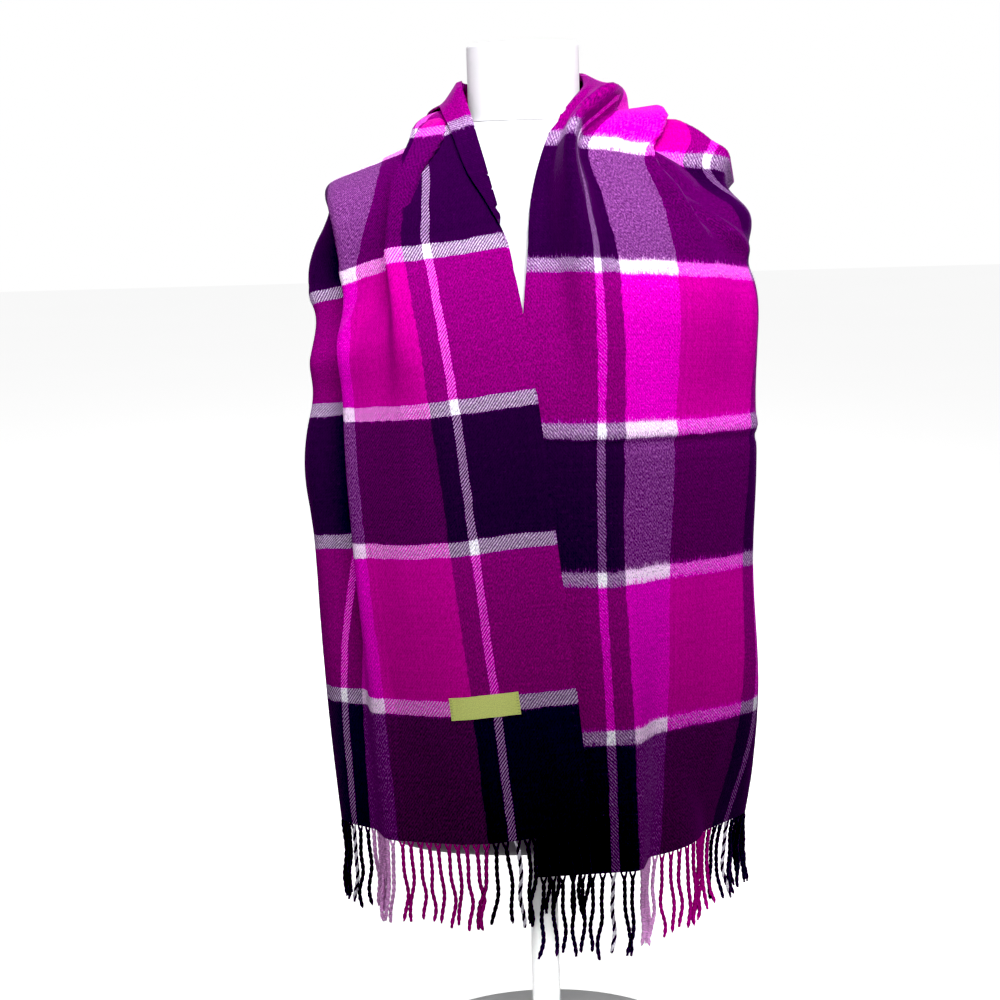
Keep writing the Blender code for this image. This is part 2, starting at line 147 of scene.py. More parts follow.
FOLDS_LEFT = {
    "lean": (Fold(0, 0, 0, 1), Fold(600, 0, 0, 1), Fold(696, 0, 8, 1), Fold(750, 0, 20, 1),
             Fold(820, 0, 5, 1), Fold(917, 0, 0, 1)),
    "collar roll": (Fold(0, 40, -10, 30), Fold(407, 50, -5, 30), Fold(485, 44, -14, 15),
                    Fold(559, 36, -18, 12), Fold(630, 34, -30, 12), Fold(696, 34, -40, 9),
                    Fold(750, 32, -34, 9), Fold(820, 34, -20, 9), Fold(917, 20, 0, 9)),
    "pleat ridge": (Fold(0, 105, 34, 34), Fold(270, 105, 40, 34), Fold(407, 106, 48, 34),
                    Fold(485, 114, 80, 14), Fold(559, 114, 150, 8), Fold(630, 97, 196, 7),
                    Fold(696, 66, 200, 7), Fold(750, 52, 170, 7), Fold(820, 56, 60, 9),
                    Fold(917, 60, 0, 9)),
    "pleat valley": (Fold(0, 170, 0, 20), Fold(407, 170, 0, 20), Fold(485, 140, -24, 12),
                     Fold(559, 136, -96, 8), Fold(630, 125, -148, 7), Fold(696, 102, -155, 7),
                     Fold(750, 86, -150, 7), Fold(820, 84, -50, 9), Fold(917, 80, 0, 9)),
    "front corner": (Fold(0, 200, 50, 14), Fold(118, 202, 55, 14), Fold(270, 205, 72, 11),
                     Fold(407, 206, 80, 9), Fold(559, 210, 84, 9), Fold(630, 218, 76, 13),
                     Fold(696, 224, 75, 16), Fold(750, 192, 44, 12), Fold(820, 130, 46, 12),
                     Fold(917, 120, 0, 9)),
    "side valley": (Fold(0, 236, -30, 14), Fold(118, 240, -50, 14), Fold(270, 256, -86, 11),
                    Fold(407, 268, -112, 8), Fold(485, 270, -112, 8), Fold(559, 268, -102, 9),
                    Fold(630, 264, -50, 16), Fold(696, 256, 0, 16), Fold(750, 230, -10, 12),
                    Fold(820, 180, -14, 9), Fold(917, 150, 0, 9)),
    "side corner": (Fold(0, 290, 50, 28), Fold(118, 290, 60, 28), Fold(270, 312, 72, 18),
                    Fold(407, 334, 60, 9), Fold(559, 332, 60, 9), Fold(630, 306, 60, 20),
                    Fold(696, 270, 40, 24), Fold(750, 250, 50, 14), Fold(820, 230, 10, 9),
                    Fold(917, 200, 0, 9)),
}

FOLDS_RIGHT = {
    "neck roll": (Fold(917, 30, 0, 9), Fold(1014, 24, -10, 9), Fold(1075, 14, -22, 8),
                  Fold(1105, 13, -56, 7), Fold(1137, 12, -80, 7), Fold(1200, 16, -60, 9),
                  Fold(1274, 24, -50, 12), Fold(1426, 50, 0, 20), Fold(1849, 50, 0, 40)),
    "neck drop": (Fold(917, 60, 0, 9), Fold(1014, 50, 50, 9), Fold(1075, 34, 110, 8),
                  Fold(1105, 42, 146, 8), Fold(1137, 46, 166, 8), Fold(1200, 54, 125, 10),
                  Fold(1274, 62, 85, 12), Fold(1426, 84, 32, 16), Fold(1563, 90, 42, 12),
                  Fold(1715, 94, 56, 12), Fold(1849, 97, 78, 9)),
    "neck valley": (Fold(917, 80, 0, 9), Fold(1014, 74, -52, 9), Fold(1075, 60, -114, 9),
                    Fold(1105, 78, -98, 9), Fold(1137, 88, -85, 9), Fold(1200, 88, -62, 12),
                    Fold(1274, 92, -22, 20), Fold(1426, 130, -2, 20), Fold(1563, 150, -12, 12),
                    Fold(1715, 151, -24, 12), Fold(1849, 150, -32, 10)),
    "pale band fall": (Fold(917, 110, 0, 9), Fold(1075, 104, 0, 12), Fold(1137, 118, 34, 12),
                       Fold(1200, 124, 24, 12), Fold(1274, 130, 12, 12), Fold(1426, 130, 0, 12),
                       Fold(1849, 130, 0, 12)),
    "pale band rise": (Fold(917, 130, 0, 9), Fold(1075, 124, 0, 12), Fold(1137, 140, -44, 12),
                       Fold(1200, 146, -30, 12), Fold(1274, 150, -10, 12), Fold(1426, 150, 0, 12),
                       Fold(1849, 150, 0, 12)),
    "pleat ridge": (Fold(917, 130, 0, 9), Fold(1014, 90, 90, 9), Fold(1075, 108, 186, 7),
                    Fold(1105, 132, 176, 7), Fold(1137, 160, 166, 7), Fold(1200, 176, 76, 12),
                    Fold(1274, 182, 32, 16), Fold(1426, 190, 8, 20), Fold(1849, 190, 0, 20)),
    "pleat valley": (Fold(917, 160, 0, 9), Fold(1014, 116, -80, 9), Fold(1075, 150, -176, 7),
                     Fold(1105, 170, -168, 7), Fold(1137, 190, -158, 7), Fold(1200, 206, -54, 14),
                     Fold(1274, 215, -3, 16), Fold(1849, 215, 0, 20)),
    "side corner": (Fold(917, 240, 0, 9), Fold(1014, 150, 75, 12), Fold(1075, 212, 106, 12),
                    Fold(1105, 248, 96, 12), Fold(1137, 282, 80, 14), Fold(1200, 260, 74, 18),
                    Fold(1274, 252, 68, 22), Fold(1340, 246, 70, 22), Fold(1426, 256, 70, 24),
                    Fold(1563, 257, 66, 24), Fold(1715, 268, 60, 26), Fold(1849, 304, 54, 22)),
}

RINGS = (
    Ring(240, 156, 96, 102, 2.2),
    Ring(300, 153, 96, 100, 2.2),
    Ring(400, 144, 92, 92, 2.2),
    Ring(480, 136, 90, 82, 2.2),
    Ring(560, 140, 96, 80, 2.2),
    Ring(640, 154, 116, 88, 2.3),
    Ring(690, 164, 126, 95, 2.4),
    Ring(740, 168, 120, 99, 2.4),
    Ring(800, 172, 104, 99, 2.45),
    Ring(840, 174, 88, 94, 2.35),
    Ring(860, 168, 79, 89, 2.25),
    Ring(876, 157, 74, 84, 2.15),
    Ring(890, 142, 68, 76, 2.1),
    Ring(903, 117, 63, 69, 2.05),
    Ring(915, 90, 58, 63, 2.0),
    Ring(926, 64, 55, 57, 2.0),
    Ring(933, 54, 53, 54, 2.0),
    Ring(940, 53, 52, 53, 2.0),
    Ring(1005, 53, 52, 52, 2.0),
)

CREASES = (
    # left front
    Crease(520, 186, -34, 96, 8, 3.6), Crease(512, 168, -30, 110, 10, -3.2),
    Crease(590, 44, 4, 120, 10, -2.4), Crease(455, 140, -6, 170, 15, -3.0),
    Crease(430, 62, 3, 210, 16, 2.2), Crease(360, 106, 5, 230, 13, -3.0),
    Crease(300, 34, -4, 240, 12, -2.4), Crease(262, 152, 3, 260, 16, 2.6),
    Crease(180, 84, -3, 210, 12, -2.8), Crease(120, 176, 6, 190, 10, -3.0),
    Crease(70, 128, 2, 130, 12, 2.4), Crease(64, 24, 3, 130, 9, 2.4),
    # left side and over the left shoulder
    Crease(330, 300, -3, 260, 12, -3.0), Crease(590, 306, 5, 150, 13, -3.4),
    Crease(690, 262, -14, 130, 12, 3.0), Crease(770, 226, 20, 120, 12, -3.2),
    # nape
    Crease(872, 236, 12, 110, 12, 3.0), Crease(930, 286, -8, 130, 13, -3.4),
    Crease(985, 232, 16, 120, 11, 3.0),
    # right front
    Crease(1232, 292, 4, 110, 9, -5.0), Crease(1208, 150, -42, 95, 9, -12.0),
    Crease(1190, 172, -38, 85, 11, 9.0), Crease(1230, 118, -46, 105, 11, 12.0),
    Crease(1335, 122, -4, 130, 12, -4.0), Crease(1350, 214, 3, 150, 13, -2.6),
    Crease(1330, 286, -2, 160, 12, 2.6), Crease(1433, 190, 90, 420, 6, 3.0),
    Crease(1444, 180, 91, 400, 5, -3.6), Crease(1520, 240, 3, 210, 13, -3.0),
    Crease(1560, 96, -4, 230, 14, -3.2), Crease(1600, 168, 3, 250, 15, 2.8),
    Crease(1640, 302, 4, 230, 10, -2.8), Crease(1705, 208, -3, 190, 12, -3.2),
    Crease(1752, 122, 4, 160, 12, 2.8), Crease(1790, 268, -2, 120, 9, 2.6),
    # right side
    Crease(1300, 34, 5, 190, 14, -3.0), Crease(1500, 28, -4, 240, 13, 2.8),
    Crease(1700, 40, 3, 230, 13, -3.0),
)


# ---------------------------------------------------------------- tables read as smooth curves
def cubic(knots: np.ndarray, values: np.ndarray, slopes: np.ndarray, where: Any) -> np.ndarray:
    """Hermite curve through the knots.

    Args:
        knots: Places of the rows, rising.
        values: One row of values for each knot.
        slopes: One row of slopes for each knot.
        where: Places to read.

    Returns:
        One row of values for each place.
    """
    where = np.clip(np.atleast_1d(np.asarray(where, float)), knots[0], knots[-1])
    k = np.clip(np.searchsorted(knots, where) - 1, 0, len(knots) - 2)
    step = (knots[k + 1] - knots[k])[:, None]
    t = (where - knots[k])[:, None] / step
    start = (1 + 2 * t) * (1 - t) ** 2 * values[k] + t * (1 - t) ** 2 * step * slopes[k]
    end = t * t * (3 - 2 * t) * values[k + 1] + t * t * (t - 1) * step * slopes[k + 1]
    return start + end


def split_table(rows: Sequence[tuple]) -> tuple[np.ndarray, np.ndarray]:
    """Knots and value columns of a table whose first column is the knot."""
    table = np.array([tuple(row) for row in rows], float)
    return table[:, 0], table[:, 1:]


def steady(rows: Sequence[tuple], where: Any) -> np.ndarray:
    """Curve through a table that never overshoots its rows.

    Args:
        rows: Table with the knot in its first column.
        where: Places to read.

    Returns:
        One row of values for each place.
    """
    knots, values = split_table(rows)
    width = np.diff(knots)[:, None]
    rise = np.diff(values, axis=0) / width
    slopes = np.zeros_like(values)
    slopes[0], slopes[-1] = rise[0], rise[-1]
    same_way = rise[:-1] * rise[1:] > 0
    before, after = np.where(same_way, rise[:-1], 1.0), np.where(same_way, rise[1:], 1.0)
    w_before, w_after = 2 * width[1:] + width[:-1], width[1:] + 2 * width[:-1]
    mean = (w_before + w_after) / (w_before / before + w_after / after)
    slopes[1:-1] = np.where(same_way, mean, 0.0)
    return cubic(knots, values, slopes, where)


def flowing(rows: Sequence[tuple], where: Any) -> np.ndarray:
    """Curve through a table with an even flow at every row.

    Args:
        rows: Table with the knot in its first column.
        where: Places to read.

    Returns:
        One row of values for each place.
    """
    knots, values = split_table(rows)
    slopes = np.empty_like(values)
    slopes[1:-1] = (values[2:] - values[:-2]) / (knots[2:] - knots[:-2])[:, None]
    slopes[0] = (values[1] - values[0]) / (knots[1] - knots[0])
    slopes[-1] = (values[-1] - values[-2]) / (knots[-1] - knots[-2])
    return cubic(knots, values, slopes, where)


def read_rows(where: np.ndarray, out: np.ndarray, rows: np.ndarray) -> np.ndarray:
    """Value of each row's own curve at its own places."""
    return np.stack([np.interp(x, out, row) for x, row in zip(where, rows)])


def smooth_step(value: np.ndarray, low: float, high: float) -> np.ndarray:
    """Soft rise from 0 at low to 1 at high."""
    t = np.clip((value - low) / (high - low), 0, 1)
    return t * t * (3 - 2 * t)


def unit(vectors: np.ndarray) -> np.ndarray:
    """Vectors brought to length 1."""
    return vectors / (np.linalg.norm(vectors, axis=-1, keepdims=True) + 1e-9)


# ---------------------------------------------------------------- meshes
def link_piece(mesh: bpy.types.Mesh, finishes: Sequence[bpy.types.Material],
               nodes: Sequence[str] = ()) -> bpy.types.Object:
    """Make an object of a mesh, dress it and let it ride on the one body.

    Args:
        mesh: The mesh, in metres, under the piece's own name.
        finishes: Materials, in the order of the mesh's material indices.
        nodes: CAD nodes that the piece stands for.

    Returns:
        The new object.
    """
    for finish in finishes:
        mesh.materials.append(finish)
    piece = bpy.data.objects.new(mesh.name, mesh)
    bpy.context.scene.collection.objects.link(piece)
    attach(piece, "root")
    if nodes:
        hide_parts(*nodes)
    log.info("%s: %d faces", piece.name, len(mesh.polygons))
    return piece


def mesh_of(name: str, points: np.ndarray, faces: Sequence[Sequence[int]],
            sharp: float | None = None) -> bpy.types.Mesh:
    """Smooth-shaded mesh.

    Args:
        name: Name of the mesh.
        points: Points in millimetres.
        faces: Corner indices of each face.
        sharp: Angle between faces, in degrees, past which an edge stays sharp.

    Returns:
        The mesh, in metres.
    """
    mesh = bpy.data.meshes.new(name)
    mesh.from_pydata((points * MM).tolist(), [], faces)
    mesh.shade_smooth()
    if sharp:
        mesh.set_sharp_from_angle(angle=math.radians(sharp))
    return mesh


def corner_points(mesh: bpy.types.Mesh) -> np.ndarray:
    """Corners of all faces.

    Args:
        mesh: The mesh.

    Returns:
        Index of the point at each corner, face by face.
    """
    corners = np.empty(len(mesh.loops), int)
    mesh.loops.foreach_get("vertex_index", corners)
    return corners


def give_map(mesh: bpy.types.Mesh, name: str, places: np.ndarray) -> None:
    """Add a UV map.

    Args:
        mesh: The mesh.
        name: Name of the map.
        places: Rows of u and v, one for each corner.
    """
    mesh.uv_layers.new(name=name).uv.foreach_set("vector", places.astype(np.float32).ravel())


def map_points(mesh: bpy.types.Mesh, name: str, u: np.ndarray, v: np.ndarray) -> None:
    """Add a UV map in metres from places in millimetres, one for each of the mesh's points."""
    give_map(mesh, name, np.stack([np.ravel(u), np.ravel(v)], 1)[corner_points(mesh)] * MM)


def grid_faces(rows: int, columns: int, closed: bool = False) -> np.ndarray:
    """Quads of a grid of points.

    Args:
        rows: Number of rows of points.
        columns: Number of points in a row.
        closed: Whether the last column joins the first.

    Returns:
        Corner indices, one row for each quad.
    """
    i, j = np.meshgrid(np.arange(rows - 1), np.arange(columns - (0 if closed else 1)), indexing="ij")
    i, j = i.ravel(), j.ravel()
    k, right = i * columns + j, i * columns + (j + 1) % columns
    return np.stack([k, right, right + columns, k + columns], 1)


def wall_faces(rows: int, columns: int) -> list[list[int]]:
    """Quads of a closed wall between two grids of points: the first grid, the second, then the rims.

    Args:
        rows: Number of rows of points in each grid.
        columns: Number of points in a row.

    Returns:
        Corner indices of each quad, with the second grid's points after the first's.
    """
    count = rows * columns
    first = grid_faces(rows, columns)
    low, near = np.arange(columns), np.arange(rows) * columns
    high, far = low + count - columns, near + columns - 1
    rims = [np.stack([edge[:-1], edge[1:], edge[1:] + count, edge[:-1] + count], 1)
            for edge in (low[::-1], high, near, far[::-1])]
    return np.concatenate([first, first[:, ::-1] + count, *rims]).tolist()


def close_rings(rings: np.ndarray) -> Solid:
    """Closed solid through a stack of rings, with a middle point at each end.

    Args:
        rings: Rings by points by coordinates, bottom to top, turning from +X to +Y.

    Returns:
        Points, ring by ring and then the two middle points, and faces.
    """
    count, segments = rings.shape[:2]
    low, high = count * segments, count * segments + 1
    points = np.concatenate([rings.reshape(-1, 3), [rings[0].mean(0), rings[-1].mean(0)]])
    j = np.arange(segments)
    after = (j + 1) % segments
    bottom = np.stack([np.full(segments, low), after, j], 1)
    top = np.stack([np.full(segments, high), low - segments + j, low - segments + after], 1)
    return points, [*grid_faces(count, segments, closed=True).tolist(), *bottom.tolist(), *top.tolist()]


def tube(spine: np.ndarray, first: np.ndarray, second: np.ndarray, radii: np.ndarray, sides: int) -> Solid:
    """Round strand along a spine.

    Args:
        spine: Points of its middle line.
        first: A direction across the spine, for all of it or at each point.
        second: The other one. First, second and the way along the spine stand like X, Y and Z.
        radii: Radius at each point.
        sides: Number of sides of its section.

    Returns:
        Points and faces.
    """
    turn = turns(sides)[:, None]
    ring = first[..., None, :] * np.cos(turn) + second[..., None, :] * np.sin(turn)
    return close_rings(spine[:, None] + ring * radii[:, None, None])


def turns(count: int) -> np.ndarray:
    """Even steps of one full turn, in radians."""
    return np.arange(count) * 2 * math.pi / count


def gather(solids: Sequence[Solid]) -> Solid:
    """Put several solids together as one.

    Args:
        solids: Points and faces of each.

    Returns:
        All the points, and all the faces with their corners counted on.
    """
    points, faces, total = [], [], 0
    for made, sides in solids:
        points.append(made)
        faces += [[corner + total for corner in side] for side in sides]
        total += len(made)
    return np.concatenate(points), faces


# ---------------------------------------------------------------- shapes
@dataclass
class FormShape:
    """The dress form's outline, from rings of half width, depth and squareness.

    Points are lifted off it in a few steps, each no longer than longest_lift. The slope that a step
    follows is taken over a nudge, and distances are trusted only within level_reach.
    """

    rings: Sequence[Ring] = RINGS
    nudge: float = 0.5
    lift_steps: int = 4
    longest_lift: float = 25.0
    level_reach: tuple[float, float] = (-30.0, 200.0)

    def values(self, z: Any) -> list[np.ndarray]:
        """Half width, front, back and power at each height."""
        values = steady(self.rings, np.ravel(z))
        return [values[:, i].reshape(np.shape(z)) for i in range(4)]

    def level(self, points: np.ndarray) -> np.ndarray:
        """How far out of the form points lie.

        Args:
            points: Points in millimetres.

        Returns:
            Zero on the form's skin, above zero outside it, as a share of the form's width.
        """
        half_width, front, back, power = self.values(points[..., 2])
        depth = np.where(points[..., 1] < 0, front, back)
        wide = np.abs(points[..., 0] / half_width) ** power
        deep = np.abs(points[..., 1] / depth) ** power
        return (wide + deep) ** (1 / power) - 1

    def lift(self, points: np.ndarray, clearance: np.ndarray, softness: float) -> np.ndarray:
        """Move points straight off the form until they keep a clearance.

        Args:
            points: Points in millimetres.
            clearance: Least distance of each point from the skin.
            softness: How gently the first step sets in.

        Returns:
            The moved points.
        """
        points = points.copy()
        nudges = np.eye(3) * self.nudge
        for step in range(self.lift_steps):
            level = self.level(points)
            slope = np.stack([(self.level(points + nudge) - level) / self.nudge for nudge in nudges], -1)
            steepness = np.linalg.norm(slope, axis=-1) + 1e-9
            lack = clearance - np.clip(level / steepness, *self.level_reach)
            move = 0.5 * (lack + np.sqrt(lack * lack + softness ** 2)) if step == 0 else lack
            points += slope / steepness[..., None] * np.clip(move, 0, self.longest_lift)[..., None]
        return points

    def rings_at(self, heights: Sequence[float], insets: Sequence[float], segments: int) -> np.ndarray:
        """Rings of points round the form.

        Args:
            heights: Height of each ring, rising.
            insets: How far each ring lies inside the skin.
            segments: Number of points in a ring.

        Returns:
            Rings by points by coordinates, in millimetres.
        """
        c, s = np.cos(turns(segments)), np.sin(turns(segments))
        rings = []
        for z, inset in zip(heights, insets):
            half_width, front, back, power = (float(v) for v in self.values(np.array(z)))
            depth = np.where(s < 0, front, back)
            radius = (np.abs(c / half_width) ** power + np.abs(s / depth) ** power) ** (-1 / power) - inset
            rings.append(np.stack([radius * c, radius * s, np.full(segments, z)], 1))
        return np.array(rings)


@dataclass
class Drape:
    """Where the scarf lies: a point for every place along and across the cloth."""

    form: FormShape
    length: float = 1849.0
    width: float = 341.0
    nape: float = 917.0
    layer_gap: float = 5.0
    turn_radius: float = 3.0
    clear_of_form: float = 2.0
    clear_softness: float = 3.0

    def section_curves(self, along: np.ndarray) -> tuple[np.ndarray, ...]:
        """Heading and run of every section, at each millimetre out from the neck fold.

        Args:
            along: Places along the cloth.

        Returns:
            Distances out, headings, runs outward and runs inward, one row for each place.
        """
        out = np.arange(0.0, self.width + 1.0)
        heading = np.zeros((len(along), len(out)))
        for folds, here in ((FOLDS_LEFT, along <= self.nape), (FOLDS_RIGHT, along > self.nape)):
            for name, rows in folds.items():
                place, angle, spread = steady(rows, along).T[:, :, None]
                share = 1.0 if name == "lean" else smooth_step((out - place) / spread, -1, 1)
                heading += angle * share * here[:, None]
        heading = np.radians(heading)
        runs = []
        for part in (np.cos(heading), np.sin(heading)):
            steps = (part[:, 1:] + part[:, :-1]) / 2
            runs.append(np.concatenate([np.zeros((len(along), 1)), np.cumsum(steps, axis=1)], axis=1))
        return out, heading, *runs

    def section_frames(self, along: np.ndarray, bearing: np.ndarray) -> tuple[np.ndarray, np.ndarray]:
        """Outward and inward directions of every section.

        Args:
            along: Places along the cloth.
            bearing: Azimuth, dip and tilt of each section, in degrees.

        Returns:
            Outward and inward directions, one row for each place.
        """
        azimuth, dip, tilt = np.radians(bearing).T[:, :, None]
        side = np.where(along <= self.nape, -1.0, 1.0)[:, None]
        flat = np.zeros_like(azimuth)
        up = np.array([0.0, 0.0, 1.0])
        level_out = np.concatenate([side * np.cos(azimuth), np.sin(azimuth), flat], 1)
        level_in = np.concatenate([-side * np.sin(azimuth), np.cos(azimuth), flat], 1)
        out = level_out * np.cos(tilt) - up * np.sin(tilt)
        down = -level_out * np.sin(tilt) - up * np.cos(tilt)
        return out, level_in * np.cos(dip) + down * np.sin(dip)

    def creased(self, along: np.ndarray, across: np.ndarray) -> np.ndarray:
        """How far the creases lift the cloth off its smooth form.

        Args:
            along: Places of the rows.
            across: Places across, for all rows or row by row.

        Returns:
            Heights outward, rows by columns.
        """
        heights = np.zeros(np.broadcast_shapes((len(along), 1), across.shape))
        for crease in CREASES:
            turn = math.radians(crease.bearing)
            ahead, aside = along[:, None] - crease.along, across - crease.across
            run = ahead * math.cos(turn) + aside * math.sin(turn)
            off = aside * math.cos(turn) - ahead * math.sin(turn)
            fade = (1 - np.clip(np.abs(run) * 2 / crease.length, 0, 1) ** 2) ** 2
            heights += crease.height * fade * np.exp(-(off / crease.width) ** 2)
        return heights

    def points(self, along: Any, across: Any) -> np.ndarray:
        """Middle of the cloth's wall.

        Args:
            along: Places of the rows.
            across: Places across, for all rows or row by row.

        Returns:
            Rows by columns by coordinates, in millimetres.
        """
        along, across = np.asarray(along, float), np.asarray(across, float)
        levels = flowing([(lv.along, lv.x, lv.y, lv.z) for lv in LEVELS], along)
        bearing = steady([(lv.along, lv.azimuth, lv.dip, lv.tilt) for lv in LEVELS], along)
        turned = steady(TURNED_OVER, along)
        out, heading, run_out, run_in = self.section_curves(along)
        outward, inward = self.section_frames(along, bearing)
        from_fold = np.abs(across - turned)
        rounding = np.sqrt(1 - (1 - np.clip(from_fold / self.turn_radius, 0, 1)) ** 2)
        layered = np.clip(np.minimum(turned, self.width - turned) / self.turn_radius, 0, 1)
        lift = self.layer_gap / 2 * rounding * layered * np.where(across < turned, 1.0, -1.0)
        angle = read_rows(from_fold, out, heading)
        raised = lift + self.creased(along, across)
        a = read_rows(from_fold, out, run_out) + np.sin(angle) * raised
        b = read_rows(from_fold, out, run_in) - np.cos(angle) * raised
        points = levels[:, None] + a[..., None] * outward[:, None] + b[..., None] * inward[:, None]
        clearance = self.clear_of_form + self.layer_gap / 2 * layered + lift
        return self.form.lift(points, clearance, self.clear_softness)

    def normals(self, along: Any, across: Any) -> np.ndarray:
        """Unit normals of the cloth, out of its fuzzy face.

        Args:
            along: Places of the rows.
            across: Places across, for all rows or row by row.

        Returns:
            Rows by columns by coordinates.
        """
        along, across, span = np.asarray(along, float), np.asarray(across, float), 0.5
        du = self.points(along, across + span) - self.points(along, across - span)
        dv = self.points(along + span, across) - self.points(along - span, across)
        return unit(np.cross(du, dv))

    def columns(self, count: int, crowding: float = 12.0, samples: int = 80) -> np.ndarray:
        """Places across, closer together where the sections turn most.

        Args:
            count: Number of steps across.
            crowding: How much closer, for each radian of turn in a millimetre.
            samples: Number of sections that are looked at.

        Returns:
            Places from one selvedge to the other.
        """
        along = np.linspace(0.0, self.length, samples)
        fine = np.arange(0.0, self.width + 1.0)
        out, heading = self.section_curves(along)[:2]
        angle = read_rows(np.abs(fine - steady(TURNED_OVER, along)), out, heading)
        weight = 1 + crowding * np.mean(np.abs(np.gradient(angle, axis=1)), axis=0)
        share = np.concatenate([[0], np.cumsum((weight[1:] + weight[:-1]) / 2)])
        return np.interp(np.linspace(0, share[-1], count + 1), share, fine)

    def on_the_fold(self, along: np.ndarray, across: np.ndarray) -> np.ndarray:
        """Move the column nearest the neck fold onto it, row by row.

        Args:
            along: Places of the rows.
            across: Places of the columns.

        Returns:
            Places across, one row for each place along.
        """
        turned = steady(TURNED_OVER, along)[:, 0]
        places = np.tile(across, (len(along), 1))
        nearest = np.argmin(np.abs(places - turned[:, None]), axis=1)
        inner = np.flatnonzero((nearest > 1) & (nearest < len(across) - 2))
        move = turned[inner] - across[nearest[inner]]
        for step, share in ((-1, 0.4), (0, 1.0), (1, 0.4)):
            places[inner, nearest[inner] + step] += move * share
        return places


# ---------------------------------------------------------------- finishes
class Reading:
    """A number or colour that a material's node gives, and that sums can be made with."""

    def __init__(self, graph: "Graph", socket: bpy.types.NodeSocket) -> None:
        """Keep the socket and the graph it belongs to."""
        self.graph = graph
        self.socket = socket

    def __add__(self, other: Any) -> "Reading":
        """Sum with a reading or a number."""
        return self.graph.math("ADD", self, other)

    def __sub__(self, other: Any) -> "Reading":
        """Difference to a reading or a number."""
        return self.graph.math("SUBTRACT", self, other)

    def __rsub__(self, other: float) -> "Reading":
        """Difference of a number to this reading."""
        return self.graph.math("SUBTRACT", other, self)

    def __mul__(self, other: Any) -> "Reading":
        """Product with a reading or a number."""
        return self.graph.math("MULTIPLY", self, other)

    def __truediv__(self, other: Any) -> "Reading":
        """Quotient by a reading or a number."""
        return self.graph.math("DIVIDE", self, other)

    __radd__ = __add__
    __rmul__ = __mul__


